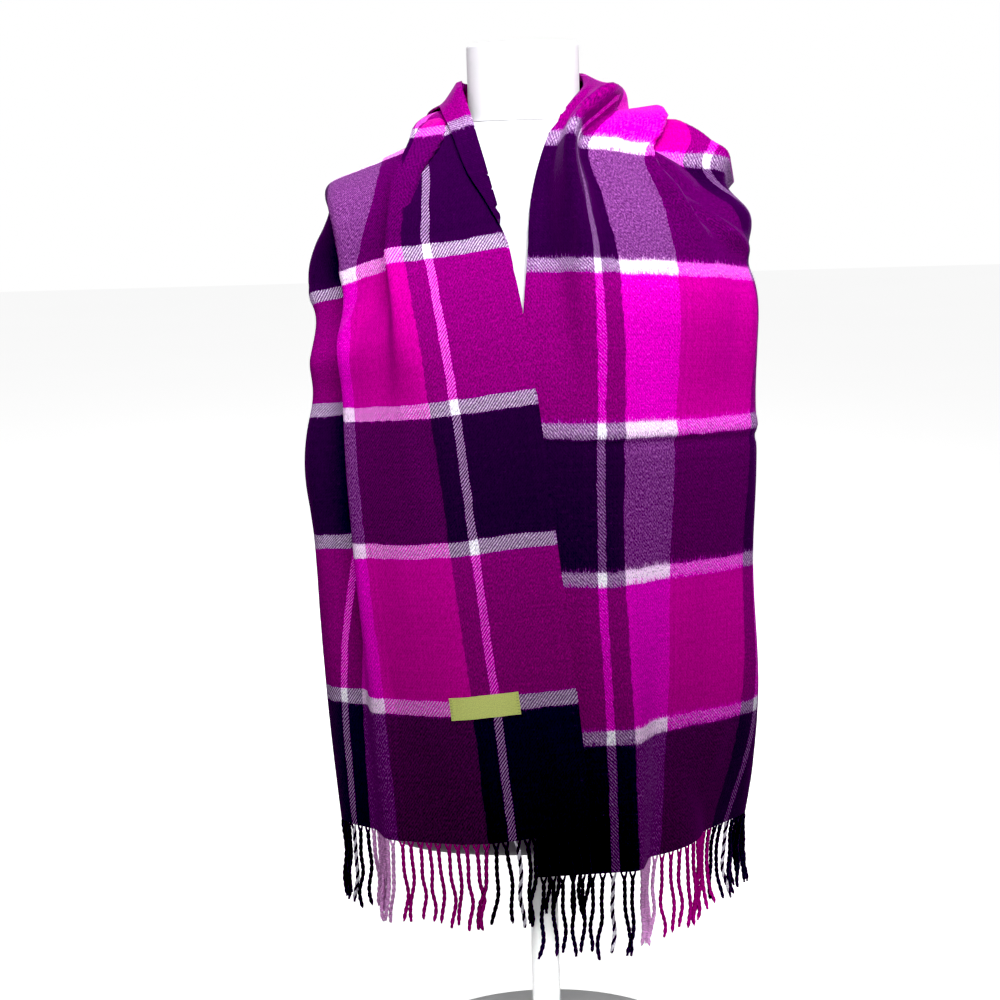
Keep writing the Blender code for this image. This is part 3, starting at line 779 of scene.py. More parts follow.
class Graph:
    """A material's nodes, with short calls that return readings."""

    def __init__(self, name: str) -> None:
        """Start a material with a Principled shader.

        Args:
            name: Name of the material.
        """
        self.material = bpy.data.materials.new(name)
        self.material.use_nodes = True
        self.tree = self.material.node_tree
        self.shader = self.tree.nodes["Principled BSDF"]

    def feed(self, socket: bpy.types.NodeSocket, value: Any) -> None:
        """Link a socket to a reading, or set its value.

        Args:
            socket: The input socket.
            value: A reading, or a value of the socket's own kind.
        """
        if isinstance(value, Reading):
            self.tree.links.new(value.socket, socket)
        else:
            socket.default_value = value

    def add(self, kind: str, inputs: dict[Any, Any], output: Any = 0, **settings: Any) -> Reading:
        """Add a node.

        Args:
            kind: The node's type, without its ShaderNode prefix.
            inputs: Values or readings for its inputs, by name or index.
            output: Name or index of the output to read.
            settings: Properties of the node.

        Returns:
            The reading of that output.
        """
        node = self.tree.nodes.new("ShaderNode" + kind)
        for key, value in settings.items():
            setattr(node, key, value)
        for key, value in inputs.items():
            self.feed(node.inputs[key], value)
        return Reading(self, node.outputs[output])

    def math(self, operation: str, *values: Any) -> Reading:
        """Result of a math node on values or readings."""
        return self.add("Math", dict(enumerate(values)), operation=operation)

    def ease(self, value: Any, low: float, high: float, start: Any = 0.0, end: Any = 1.0) -> Reading:
        """Soft rise from start to end while the value goes from low to high."""
        inputs = {0: value, 1: low, 2: high, 3: start, 4: end}
        return self.add("MapRange", inputs, interpolation_type="SMOOTHSTEP")

    def mix(self, share: Any, first: Any, second: Any, blend: str = "MIX") -> Reading:
        """Blend of two colours, all the first at share 0 and all the second at share 1."""
        return self.add("Mix", {0: share, 6: first, 7: second}, 2, data_type="RGBA", blend_type=blend)

    def place(self, x: Any, y: Any, z: Any = 0.0) -> Reading:
        """Vector of three values or readings."""
        return self.add("CombineXYZ", {0: x, 1: y, 2: z})

    def noise(self, x: Any, y: Any, z: Any = 0.0, detail: float = 2.0) -> Reading:
        """Noise of about one hill for each unit."""
        return self.add("TexNoise", {"Vector": self.place(x, y, z), "Scale": 1.0, "Detail": detail})

    def chance(self, x: Any, y: Any) -> Reading:
        """Random reading from 0 to 1 for each place."""
        return self.add("TexWhiteNoise", {"Vector": self.place(x, y)}, noise_dimensions="2D")

    def millimetres(self, map_name: str = "") -> tuple[Reading, ...]:
        """Where the point lies, in millimetres.

        Args:
            map_name: UV map to read. With none, the point's place in its object is read.

        Returns:
            Places along the three axes. The third one is 0 on a map.
        """
        if map_name:
            place = self.add("UVMap", {}, uv_map=map_name)
        else:
            place = self.add("TexCoord", {}, "Object")
        return tuple(self.add("SeparateXYZ", {0: place}, axis) * 1000.0 for axis in range(3))

    def bands(self, place: Any, stops: Sequence[tuple[float, Colour]]) -> Reading:
        """Plain bands of colour.

        Args:
            place: Reading from 0 to 1.
            stops: Start and colour of each band, rising.

        Returns:
            The colour.
        """
        tone = self.add("ValToRGB", {0: place})
        ramp = tone.socket.node.color_ramp
        ramp.interpolation = "CONSTANT"
        ramp.elements.remove(ramp.elements[1])
        ramp.elements[0].position = 0.0
        for start, colour in stops:
            element = ramp.elements[0] if start == 0 else ramp.elements.new(start)
            element.color = tinted(colour)
        return tone

    def paleness(self, first: Reading, second: Reading, low: float) -> Reading:
        """How pale the paler of two yarn colours is.

        Args:
            first: One colour.
            second: The other one.
            low: Green part up to which a colour isn't pale at all.

        Returns:
            A reading from 0 to 1.
        """
        greens = (self.add("SeparateColor", {0: colour}, 1) for colour in (first, second))
        return self.math("MAXIMUM", *[self.ease(green, low, 0.98) for green in greens])

    def shaded_blend(self, blend: Reading, shade: Reading, blend_power: float) -> Reading:
        """Colour of a blend of yarns times a shade, in linear light; in the wool that shade holds painted
        shade and painted light.

        Args:
            blend: Blend of yarn colours, as Yarns.rooted gives them.
            shade: Share of the light that comes back.
            blend_power: The power of Yarns.

        Returns:
            The colour in linear light.
        """
        seen = self.add("Gamma", {0: blend, 1: blend_power})
        grey = self.add("CombineColor", {0: shade, 1: shade, 2: shade})
        return self.add("Gamma", {0: self.mix(1.0, seen, grey, "MULTIPLY"), 1: 2.2})

    def finish(self, colour: Any, height: Any, depth: float, **sockets: Any) -> bpy.types.Material:
        """Feed the shader.

        Args:
            colour: Base colour.
            height: Relief, where 1 stands for the whole depth.
            depth: The relief's depth in metres.
            sockets: Constants for the shader's own sockets, with _ for each space in a name.

        Returns:
            The finished material.
        """
        self.feed(self.shader.inputs["Base Color"], colour)
        bump = self.add("Bump", {"Height": height, "Distance": depth, "Strength": 1.0})
        self.feed(self.shader.inputs["Normal"], bump)
        for key, value in sockets.items():
            self.shader.inputs[key.replace("_", " ")].default_value = value
        return self.material

    def finish_wool(self, colour: Any, height: Any, depth: float, sheen: float) -> bpy.types.Material:
        """Feed the shader as matt wool whose loose hairs catch light; sheen says how much."""
        return self.finish(colour, height, depth, Roughness=0.95, Specular_IOR_Level=0.04,
                           Sheen_Weight=sheen, Sheen_Roughness=0.5, Sheen_Tint=(0.75, 0.30, 0.90, 1.0))


def tinted(colour: Colour, share: float = 1.0) -> tuple[float, ...]:
    """Colour with its alpha, each part times a share."""
    return (*(min(1.0, part * share) for part in colour), 1.0)


class Nap(NamedTuple):
    """How a face is brushed: lengths of its hairs in millimetres, and shares from 0 to 1."""

    reach: float
    fine_reach: float
    thin_cover: float
    full_cover: float
    white_cover: float
    loose: float
    sheen: float


class Face(Enum):
    """The two faces of the brushed cloth."""

    CRISP = Nap(4.5, 3.0, 0.60, 0.95, 0.35, 0.18, 0.10)
    FUZZY = Nap(12.0, 7.5, 0.70, 1.0, 0.75, 0.30, 0.14)


@dataclass(frozen=True)
class Yarns:
    """Colours of the scarf's yarns as the eye sees them (display values), and the order of the check."""

    dark: Colour = (0.190, 0.060, 0.230)
    magenta: Colour = (0.73, 0.002, 0.56)
    lilac: Colour = (1.0, 0.72, 0.98)
    white: Colour = (0.97, 0.95, 1.0)
    fibre: Colour = (0.86, 0.52, 0.90)
    blend_power: float = 3.0
    warp_edges: tuple[float, ...] = (0, 70.5, 78.5, 97, 187, 244, 262.5, 270.5)
    stripe_width: float = 16.0
    first_stripe: float = 110.0
    stripe_steps: tuple[float, float] = (152.0, 137.0)
    width: float = 341.0
    length: float = 1849.0

    def rooted(self, colour: Colour) -> Colour:
        """Colour as it is blended: dark yarns count for more than light ones."""
        return tuple(part ** (1 / self.blend_power) for part in colour)

    def warp(self, g: Graph, u: Reading) -> Reading:
        """Colour of the warp yarn, band by band.

        Args:
            g: The finish's graph.
            u: Place across the cloth, in millimetres.

        Returns:
            The colour, rooted.
        """
        order = (self.dark, self.white, self.dark, self.magenta, self.lilac, self.dark, self.white, self.dark)
        stops = [(edge / self.width, self.rooted(colour)) for edge, colour in zip(self.warp_edges, order)]
        return g.bands(u / self.width, stops)

    def weft(self, g: Graph, v: Reading) -> Reading:
        """Colour of the weft yarn: white stripes between dark and magenta blocks in turn.

        Args:
            g: The finish's graph.
            v: Place along the cloth, in millimetres.

        Returns:
            The colour, rooted.
        """
        blocks = (self.rooted(self.magenta), self.rooted(self.dark))
        stops, start, turn = [(0.0, blocks[1])], self.first_stripe, 0
        while start < self.length - self.stripe_width:
            stops.append((start / self.length, self.rooted(self.white)))
            stops.append(((start + self.stripe_width) / self.length, blocks[turn]))
            start += self.stripe_steps[turn]
            turn = 1 - turn
        return g.bands(v / self.length, stops)


class WovenPlace(NamedTuple):
    """What several steps of the wool's finish read at a place of the cloth."""

    u: Reading
    v: Reading
    warp: Reading
    weft: Reading
    pale: Reading
    white: Reading
    warp_share: Reading


@dataclass(frozen=True)
class WoolFinish:
    """Brushed 2/2 twill on one face of the cloth, read from the map `cloth` in metres."""

    face: Face
    yarns: Yarns = Yarns()
    end_pitch: float = 0.75
    pick_pitch: float = 0.90
    warp_share: float = 0.33
    contrast: float = 0.30
    relief: float = 0.00040

    def woven_place(self, g: Graph) -> WovenPlace:
        """Place and yarn colours, where the bands' edges wander a little like loose threads.

        Args:
            g: The finish's graph.

        Returns:
            What the other steps read.
        """
        u, v, _ = g.millimetres("cloth")
        u = u + g.ease(g.noise(u * 0.06, v * 0.03, 3.0), 0.3, 0.7, -0.5, 0.5)
        v = v + g.ease(g.noise(u * 0.05, v * 0.02, 8.0), 0.3, 0.7, -0.7, 0.7)
        warp, weft = self.yarns.warp(g, u), self.yarns.weft(g, v)
        pale, white = g.paleness(warp, weft, 0.80), g.paleness(warp, weft, 0.93)
        return WovenPlace(u, v, warp, weft, pale, white, g.ease(pale, 0.0, 1.0, self.warp_share, 0.50))

    def ground(self, g: Graph, at: WovenPlace, step: Reading) -> Reading:
        """Colour of the weave: two over, two under, one step on at every pick. White yarns stand out.

        Args:
            g: The finish's graph.
            at: The place on the cloth.
            step: Step of the twill, 0 to 3.

        Returns:
            The colour, rooted.
        """
        over = g.ease(at.white, 0.0, 1.0, at.warp_share + self.contrast, 0.80)
        under = g.ease(at.white, 0.0, 1.0, at.warp_share - self.contrast, 0.04)
        return g.mix(g.ease(step, 1.0, 2.0, over, under), at.weft, at.warp)

    def nap(self, g: Graph, at: WovenPlace, streak: Reading) -> Reading:
        """Colour of the nap, brushed one way: hairs lie over the cloth before the place they grow from.

        Args:
            g: The finish's graph.
            at: The place on the cloth.
            streak: Long streaks of the brush.

        Returns:
            The colour, rooted.
        """
        back = g.noise(at.u * 0.8, at.v * 0.1, 5.0)
        fine = g.noise(at.u * 2.4, at.v * 0.12, 9.0, 3.0)
        reach = g.ease(streak, 0.42, 0.72, 0.0, self.face.value.reach) - g.ease(back, 0.55, 0.75, 0.0, 3.0)
        hairs = (reach * 0.45, reach * g.ease(fine, 0.35, 0.65, 0.1, 1.0),
                 g.ease(fine, 0.45, 0.75, -1.5, self.face.value.fine_reach))
        first, second, third = (self.yarns.weft(g, at.v + hair) for hair in hairs)
        weft = g.mix(0.33, g.mix(0.5, first, second), third)
        warp = self.yarns.warp(g, at.u + g.ease(back, 0.3, 0.7, -0.8, 0.8))
        fluff = g.noise(at.u * 0.8, at.v * 0.4, 9.0, 4.0)
        return g.mix(at.warp_share - at.white * 0.10 + g.ease(fluff, 0.3, 0.7, -0.20, 0.20), weft, warp)

    def loose_fibres(self, g: Graph, at: WovenPlace) -> Reading:
        """Share of loose fibres of the pale yarns, blown about in all directions.

        Args:
            g: The finish's graph.
            at: The place on the cloth.

        Returns:
            A share from 0 up.
        """
        sway = g.ease(g.noise(at.u * 0.11, at.v * 0.11, 12.0), 0.3, 0.7, -6.0, 6.0)
        fibre = g.noise((at.u + sway) * 1.3, at.v * 0.22, 14.0, 1.0)
        crossing = g.noise(at.u * 0.25, (at.v + sway) * 1.3, 16.0, 1.0)
        most = g.math("MAXIMUM", g.ease(fibre, 0.66, 0.76), g.ease(crossing, 0.70, 0.80))
        return most * self.face.value.loose

    def material(self) -> bpy.types.Material:
        """Build the material.

        Returns:
            The wool of this face.
        """
        g = Graph(f"wool_{self.face.name.lower()}")
        nap = self.face.value
        at = self.woven_place(g)
        streak = g.noise(at.u * 0.95, at.v * 0.085, 1.0, 3.0)
        tuft = g.noise(at.u * 0.55, at.v * 0.16, 2.0, 3.0)
        grain = g.noise(at.u * 1.6, at.v * 0.45, 6.0, 4.0)
        end, pick = g.math("FLOOR", at.u / self.end_pitch), g.math("FLOOR", at.v / self.pick_pitch)
        ridge = g.math("SINE", (at.u / self.end_pitch + at.v / self.pick_pitch) * (math.pi / 2))
        cover = g.ease(tuft, 0.3, 0.7, nap.thin_cover, nap.full_cover)
        cover = cover * g.ease(at.white, 0.0, 1.0, 1.0, nap.white_cover)
        ground = self.ground(g, at, g.math("FLOORED_MODULO", end + pick, 4.0))
        cloth = g.mix(cover, ground, self.nap(g, at, streak))
        cloth = g.mix(self.loose_fibres(g, at), cloth, tinted(self.yarns.rooted(self.yarns.fibre)))

        # Each yarn differs a little in tone, and a fine grain mottles it; the rest of the shade is painted
        # light and shade.
        # painted light: tufts of fine hair are lighter, as if they caught light
        shade = g.chance(end, 0.0) * 0.05 + g.chance(7.0, pick) * 0.05 + g.ease(tuft, 0.25, 0.75, 0.86, 1.0)
        # painted shade in the gaps between the wales and painted light on their ridges, weaker where the nap
        # covers them
        shade = shade + ridge * ((1.05 - cover) * 0.14)
        shade = shade + g.ease(grain, 0.3, 0.7, -0.11, 0.11) * (1.0 + at.pale)
        height = (ridge + 1.0) * (0.55 - cover * 0.5) + (streak + (tuft + grain))
        colour = g.shaded_blend(cloth, shade, self.yarns.blend_power)
        return g.finish_wool(colour, height, self.relief, nap.sheen)


@dataclass(frozen=True)
class StrandFinish:
    """Twisted warp yarn of the fringe, coloured by where it leaves the cloth."""

    yarns: Yarns = Yarns()
    relief: float = 0.0006
    sheen: float = 0.14

    def material(self) -> bpy.types.Material:
        """Build the material.

        Returns:
            The wool of the fringe.
        """
        g = Graph("wool_strands")
        u, v, _ = g.millimetres("cloth")
        hair = g.noise(u * 2.0, v * 0.8, 0.0, 4.0)
        shade = g.ease(hair, 0.25, 0.75, 0.80, 1.05)
        colour = g.shaded_blend(self.yarns.warp(g, u), shade, self.yarns.blend_power)
        return g.finish_wool(colour, hair, self.relief, self.sheen)


@dataclass(frozen=True)
class TapeFinish:
    """Close woven tape with fine ribs, read from the map `tape` in metres."""

    ground: Colour = (0.60, 0.66, 0.17)
    rib_pitch: float = 0.45
    relief: float = 0.00008

    def material(self) -> bpy.types.Material:
        """Build the material.

        Returns:
            The label's tape.
        """
        g = Graph("label_tape")
        u, v, _ = g.millimetres("tape")
        rib, weave = (g.math("SINE", place * (2 * math.pi / self.rib_pitch)) for place in (v, u))
        speckle = g.ease(g.noise(u * 1.2, v * 1.2, 0.0, 3.0), 0.3, 0.7)
        colour = g.mix(speckle, tinted(self.ground, 0.80), tinted(self.ground, 1.16))
        return g.finish(colour, rib * 0.5 + weave * 0.25, self.relief, Roughness=0.55, Sheen_Weight=0.15)


@dataclass(frozen=True)
class JerseyFinish:
    """Fine white knit over the dress form."""

    colour: Colour = (0.72, 0.72, 0.75)
    wale_pitch: float = 1.1
    course_pitch: float = 1.1 / 1.3
    relief: float = 0.00006

    def material(self) -> bpy.types.Material:
        """Build the material.

        Returns:
            The form's covering.
        """
        g = Graph("form_jersey")
        u, v, _ = g.millimetres("skin")
        wale = g.math("SINE", u * (2 * math.pi / self.wale_pitch))
        course = g.math("SINE", v * (2 * math.pi / self.course_pitch) + wale)
        cloud = g.ease(g.noise(u * 0.02, v * 0.02, 0.0, 4.0), 0.3, 0.7)
        colour = g.mix(cloud, tinted(self.colour, 0.95), tinted(self.colour))
        return g.finish(colour, wale * 0.5 + course * 0.3, self.relief, Roughness=0.8, Sheen_Weight=0.1)


@dataclass(frozen=True)
class EnamelFinish:
    """White satin enamel with a faint orange peel."""

    colour: Colour = (0.80, 0.80, 0.81)
    relief: float = 0.00003

    def material(self) -> bpy.types.Material:
        """Build the material.

        Returns:
            The stand's enamel.
        """
        g = Graph("stand_enamel")
        place = g.millimetres()
        peel = g.noise(*(part * 0.5 for part in place))
        dust = g.ease(g.noise(*(part * 0.03 for part in place), 4.0), 0.35, 0.65)
        colour = g.mix(dust, tinted(self.colour, 0.93), tinted(self.colour))
        return g.finish(colour, peel, self.relief, Roughness=0.35, Coat_Weight=0.2)


@dataclass(frozen=True)
class FloorFinish:
    """Plain pale floor that glows softly."""

    colour: Colour = (0.90, 0.90, 0.90)
    glow: float = 0.95
    relief: float = 0.0001

    def material(self) -> bpy.types.Material:
        """Build the material.

        Returns:
            The floor's surface.
        """
        g = Graph("floor")
        x, y, _ = g.millimetres()
        cloud = g.noise(x * MM, y * MM, 0.0, 3.0)
        colour = g.mix(cloud, tinted(self.colour, 0.985), tinted(self.colour))
        g.feed(g.shader.inputs["Emission Color"], colour)
        return g.finish(colour, cloud, self.relief, Roughness=0.9, Specular_IOR_Level=0.1,
                        Emission_Strength=self.glow)


# ---------------------------------------------------------------- the scarf
@dataclass
class ScarfCloth:
    """The woven length of the scarf: one closed wall over the whole drape."""

    drape: Drape
    thickness: float = 2.0
    column_count: int = 84
    row_stops: tuple[float, ...] = (0.0, 560.0, 1290.0, 1849.0)
    row_steps: tuple[int, ...] = (120, 290, 120)
    bake_strips: int = 3
    bake_gap: float = 12.0

    def rows(self) -> np.ndarray:
        """Places along the cloth, closer together over the shoulders.

        Returns:
            The places, from one hem to the other.
        """
        spans = [np.linspace(start, end, steps, endpoint=False)
                 for start, end, steps in zip(self.row_stops, self.row_stops[1:], self.row_steps)]
        return np.concatenate([*spans, [self.row_stops[-1]]])

    def bake_map(self, mesh: bpy.types.Mesh, along: np.ndarray, across: np.ndarray) -> None:
        """Lay both faces out in strips, side by side and clear of each other.

        Args:
            mesh: The cloth's mesh, whose faces come in the order fuzzy, crisp, rims.
            along: Places of the rows.
            across: Places across the cloth, one row for each place along.
        """
        rows, columns = across.shape
        quads = (rows - 1) * (columns - 1)
        strip = (along[:-1] / self.drape.length * self.bake_strips).astype(int)
        strip_width = self.drape.width + self.bake_gap
        strip_length = self.drape.length / self.bake_strips
        side_length = strip_length + 2 * self.bake_gap
        corners = corner_points(mesh)
        u, v = across.ravel()[corners % (rows * columns)], along[(corners // columns) % rows]
        face = np.minimum(np.arange(len(corners)) // 4, 2 * quads)
        side = np.minimum(face // quads, 1)
        column = strip[np.minimum((face % quads) // (columns - 1), rows - 2)]
        wide, tall = self.bake_strips * strip_width, 2 * side_length
        x = (u + self.bake_gap / 2 + column * strip_width) / wide
        y = (v - column * strip_length + self.bake_gap + side * side_length) / tall
        give_map(mesh, "OFBake", np.stack([x, y], 1) * min(1.0, wide / tall))

    def build(self) -> bpy.types.Object:
        """Returns:
            The scarf's object.
        """
        along = self.rows()
        across = self.drape.on_the_fold(along, self.drape.columns(self.column_count))
        rows, columns = across.shape
        middle, off = self.drape.points(along, across), self.drape.normals(along, across) * self.thickness / 2
        points = np.concatenate([middle + off, middle - off]).reshape(-1, 3)
        mesh = mesh_of("scarf_cloth", points, wall_faces(rows, columns), sharp=60)
        quads = (rows - 1) * (columns - 1)
        finish_index = np.zeros(len(mesh.polygons), np.int32)
        finish_index[quads:2 * quads] = 1
        mesh.polygons.foreach_set("material_index", finish_index)
        map_points(mesh, "cloth", np.tile(across.ravel(), 2), np.tile(np.repeat(along, columns), 2))
        self.bake_map(mesh, along, across)
        finishes = [WoolFinish(face).material() for face in (Face.FUZZY, Face.CRISP)]
        return link_piece(mesh, finishes,
                          ("scarf_left_front", "scarf_nape", "scarf_right_front"))


@dataclass
class Fringe:
    """A row of two-ply twisted strands along one hem."""

    drape: Drape
    name: str
    node: str
    hem: float
    inner: float
    seed: int
    length: float = 86.0
    shortest: float = 0.90
    pitch: float = 9.6
    ply_radius: float = 1.5
    ply_spread: float = 0.72
    fan: float = 2.6
    fan_length: float = 7.0
    twist_pitch: float = 13.0
    hem_share: float = 0.62
    tip_share: float = 0.12
    tip_length: float = 5.0
    level_step: float = 2.0
    sides: int = 6
    sway: float = 4.6
    least_gap: float = 4.0
    spacing_rounds: int = 24

    def roots(self, rng: np.random.Generator) -> np.ndarray:
        """Places across the hem where the strands leave the cloth.

        Args:
            rng: Source of their unevenness.

        Returns:
            One place for each strand.
        """
        count = round(self.drape.width / self.pitch)
        even = (np.arange(count) + 0.5) * self.drape.width / count
        return even + rng.uniform(-1.0, 1.0, count)

    def centre_lines(self, roots: np.ndarray, rng: np.random.Generator) -> tuple[np.ndarray, np.ndarray]:
        """Middle line of every strand and the hem's direction at its root.

        Args:
            roots: Places of the strands across the hem.
            rng: Source of their unevenness.

        Returns:
            Strands by levels by coordinates, and one direction for each strand.
        """
        hem = [self.hem]
        start, above = self.drape.points([self.hem, self.hem + self.inner * 6.0], roots)
        down = unit(start - above)
        beside = unit(self.drape.points(hem, roots + 1.0)[0] - self.drape.points(hem, roots - 1.0)[0])
        levels = np.arange(0.0, self.length + self.level_step, self.level_step)
        t = levels / self.length
        count = len(roots)
        way = down[:, None] * (1 - t)[:, None] + np.array([0.0, 0.0, -1.0]) * t[:, None]
        lines = start[:, None] + levels[:, None] * way
        for axis, size in ((beside, 1.0), (np.cross(beside, down), 0.8)):
            wave, phase = rng.uniform(38, 75, (count, 1)), rng.uniform(0, 2 * math.pi, (count, 1))
            drift = rng.normal(0, 1.0, (count, 1)) * self.sway * t ** 1.3
            swing = np.sin(levels / wave * 2 * math.pi + phase) * self.sway * 0.55 * smooth_step(t, 0.05, 0.7)
            lines += axis[:, None] * ((drift + swing) * size)[..., None]
        return self.spaced(lines), beside

    def spaced(self, lines: np.ndarray) -> np.ndarray:
        """Push strands apart, level by level, where they come too close.

        Args:
            lines: Strands by levels by coordinates, changed in place.

        Returns:
            The same lines.
        """
        for _ in range(self.spacing_rounds):
            for reach in (1, 2, 3):
                gap = lines[reach:] - lines[:-reach]
                gap[..., 2] = 0.0
                distance = np.linalg.norm(gap, axis=2, keepdims=True) + 1e-6
                push = gap / distance * np.clip(self.least_gap - distance, 0, None) * 0.25
                push[:, :3] = 0.0
                lines[reach:] += push
                lines[:-reach] -= push
            lines[:, 1:-1, :2] = (lines[:, :-2, :2] + 2 * lines[:, 1:-1, :2] + lines[:, 2:, :2]) / 4
        return lines

    def strand(self, line: np.ndarray, root: float, beside: np.ndarray) -> list[tuple[Solid, np.ndarray]]:
        """Two plies that fan out at the hem and twist round each other below it.

        Args:
            line: The strand's middle line.
            root: Where it leaves the cloth, across the hem.
            beside: The hem's direction there.

        Returns:
            For each ply its solid and, point by point, its places on the map `cloth` in millimetres.
        """
        run = unit(np.gradient(line, axis=0))
        first = unit(beside - run * (run @ beside)[:, None])
        second = np.cross(run, first)
        level = np.arange(len(line)) * self.level_step
        together = smooth_step(level, 0.0, self.fan_length)
        spread = (self.fan + (self.ply_spread - self.fan) * together)[:, None]
        twist = 2 * math.pi / self.twist_pitch * np.clip(level - self.fan_length * 0.6, 0, None)
        tip = np.clip((level[-1] - level) / self.tip_length, 0.0, 1.0)
        radius = self.ply_radius * (self.hem_share + (1 - self.hem_share) * together)
        radius *= np.sqrt(self.tip_share + (1 - self.tip_share) * tip)
        v = np.append(np.repeat(level, self.sides), (level[0], level[-1]))
        around = np.append(np.tile(np.sin(turns(self.sides)), len(line)), (0.0, 0.0))
        plies = []
        for side_of_root, turn in ((1.0, twist[:, None]), (-1.0, twist[:, None] + math.pi)):
            centre = line + spread * (first * np.cos(turn) + second * np.sin(turn))
            ply_run = unit(np.gradient(centre, axis=0))
            side = unit(np.cross(ply_run, second))
            solid = tube(centre, side, np.cross(ply_run, side), radius, self.sides)
            u = root + side_of_root * self.fan * 0.8 + around * 0.15
            plies.append((solid, np.stack([u, v])))
        return plies

    def build(self) -> bpy.types.Object:
        """Make and dress the strands.

        Returns:
            The fringe's object.
        """
        rng = np.random.default_rng(self.seed)
        roots = self.roots(rng)
        plies = []
        for line, beside, root in zip(*self.centre_lines(roots, rng), roots):
            kept = max(8, int(len(line) * rng.uniform(self.shortest, 1.0)))
            plies += self.strand(line[:kept], root, beside)
        mesh = mesh_of(self.name, *gather([solid for solid, _ in plies]))
        map_points(mesh, "cloth", *np.concatenate([places for _, places in plies], axis=1))
        return link_piece(mesh, [StrandFinish().material()], (self.node,))


@dataclass
class Label:
    """Bare woven tape sewn flat near the left hem, with its ends turned under."""

    drape: Drape
    across: tuple[float, float] = (53.0, 117.0)
    along: tuple[float, float] = (112.0, 133.0)
    thickness: float = 0.7
    lift: float = 1.9
    turned_end: float = 4.0
    waviness: float = 0.25
    row_count: int = 22
    column_count: int = 66
    stitch_count: int = 7
    stitch_length: float = 2.4
    stitch_inset: float = 0.4
    stitch_margin: float = 2.0
    stitch_lift: float = 0.90
    stitch_rise: float = 0.3
    stitch_points: int = 7
    stitch_sides: int = 6
    end_radius: float = 0.10
    middle_radius: float = 0.34
    thread: Colour = (0.30, 0.35, 0.07)

    def surface(self, along: np.ndarray, across: np.ndarray, lift: Any) -> np.ndarray:
        """Points over the cloth's front.

        Args:
            along: Places along the cloth.
            across: Places across it.
            lift: How far the points lie off the middle of its wall.

        Returns:
            Rows by columns by coordinates.
        """
        normals = self.drape.normals(along, across)
        outward = normals * -np.sign(normals[..., 1:2])
        return self.drape.points(along, across) + outward * np.asarray(lift)[..., None]

    def build(self) -> list[bpy.types.Object]:
        """Make and dress the tape and its stitches.

        Returns:
            The tape and the stitches.
        """
        along, across = np.linspace(*self.along, self.row_count), np.linspace(*self.across, self.column_count)
        v, u = np.meshgrid(along, across, indexing="ij")
        from_end = np.minimum(across - self.across[0], self.across[1] - across)
        double = smooth_step(from_end, self.turned_end + 0.6, self.turned_end - 0.6)
        base = self.lift - self.thickness / 2 + self.waviness * np.sin(u * 0.31 + v * 0.2)
        over = base + self.thickness * (1 + 0.6 * double)
        layers = [self.surface(along, across, lift) for lift in (base, over)]
        faces = wall_faces(self.row_count, self.column_count)
        mesh = mesh_of("label_tape", np.concatenate(layers).reshape(-1, 3), faces, sharp=50)
        map_points(mesh, "tape", np.tile(u.ravel(), 2), np.tile(v.ravel(), 2))
        tape = link_piece(mesh, [TapeFinish().material()], ("label",))
        return [tape, self.build_stitches()]

    def build_stitches(self) -> bpy.types.Object:
        """Make the short stitches over both turned ends.

        Returns:
            The stitches, as one piece.
        """
        bulge = np.sin(np.linspace(0.0, math.pi, self.stitch_points))
        lift = self.lift + self.stitch_lift + self.stitch_rise * bulge[None, :]
        radii = self.end_radius + (self.middle_radius - self.end_radius) * bulge
        back, down = np.array([0.0, 1.0, 0.0]), np.array([0.0, 0.0, -1.0])
        places = np.linspace(self.along[0] + self.stitch_margin, self.along[1] - self.stitch_margin,
                             self.stitch_count)
        left_end, right_end = self.across[0] + self.stitch_inset, self.across[1] - self.stitch_inset
        stitches = []
        for start in (left_end, right_end - self.stitch_length):
            across = np.linspace(start, start + self.stitch_length, self.stitch_points)
            for place in places:
                spine = self.surface(np.array([place]), across, lift)[0]
                stitches.append(tube(spine, back, down, radii, self.stitch_sides))
        points, faces = gather(stitches)
        mesh = mesh_of("label_stitches", points, faces)
        map_points(mesh, "tape", points[:, 0], points[:, 1])
        return link_piece(mesh, [TapeFinish(ground=self.thread).material()])


# ---------------------------------------------------------------- what carries it
@dataclass
class DressForm:
    """Limbless torso and neck cap, smooth and whole."""

    shape: FormShape
    segments: int = 144
    bottom_edge: float = 6.0
    neck_edge: float = 4.0
    seam_edge: float = 0.5
    edge_rings: int = 7
    ring_gap: float = 1.0
    bottom_gap: float = 4.0
    mean_radius: float = 110.0

    def piece(self, node: str, edges: tuple[float, float], gap: float, steps: int) -> bpy.types.Object:
        """Loft a solid with rounded edges through rings of the form and dress it.

        Args:
            node: The CAD node it stands for, which has its lowest and highest level.
            edges: Radii of its lower and upper edge.
            gap: Height between the lower edge and the first ring of the side.
            steps: Number of rings of the side.

        Returns:
            The new object.
        """
        low, high = (corner[2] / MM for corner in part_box(node))
        bend = np.linspace(0.0, math.pi / 2, self.edge_rings)
        rise, inset = np.sin(bend), 1 - np.cos(bend)
        side = np.linspace(low + edges[0] + gap, high - edges[1] - self.ring_gap, steps)
        heights = np.concatenate([low + edges[0] * inset, side, high - edges[1] * (1 - rise)])
        insets = np.concatenate([edges[0] * (1 - rise), np.zeros(steps), edges[1] * inset])
        points, faces = close_rings(self.shape.rings_at(heights, insets, self.segments))
        mesh = mesh_of(f"{node}_cover", points, faces, sharp=50)
        map_points(mesh, "skin", np.arctan2(points[:, 1], points[:, 0]) * self.mean_radius, points[:, 2])
        return link_piece(mesh, [JerseyFinish().material()], (node,))

    def build(self) -> list[bpy.types.Object]:
        """Make and dress the torso and the neck.

        Returns:
            The torso and the neck.
        """
        return [self.piece("form_torso", (self.bottom_edge, self.seam_edge), self.bottom_gap, steps=120),
                self.piece("form_neck", (self.seam_edge, self.neck_edge), self.ring_gap, steps=24)]


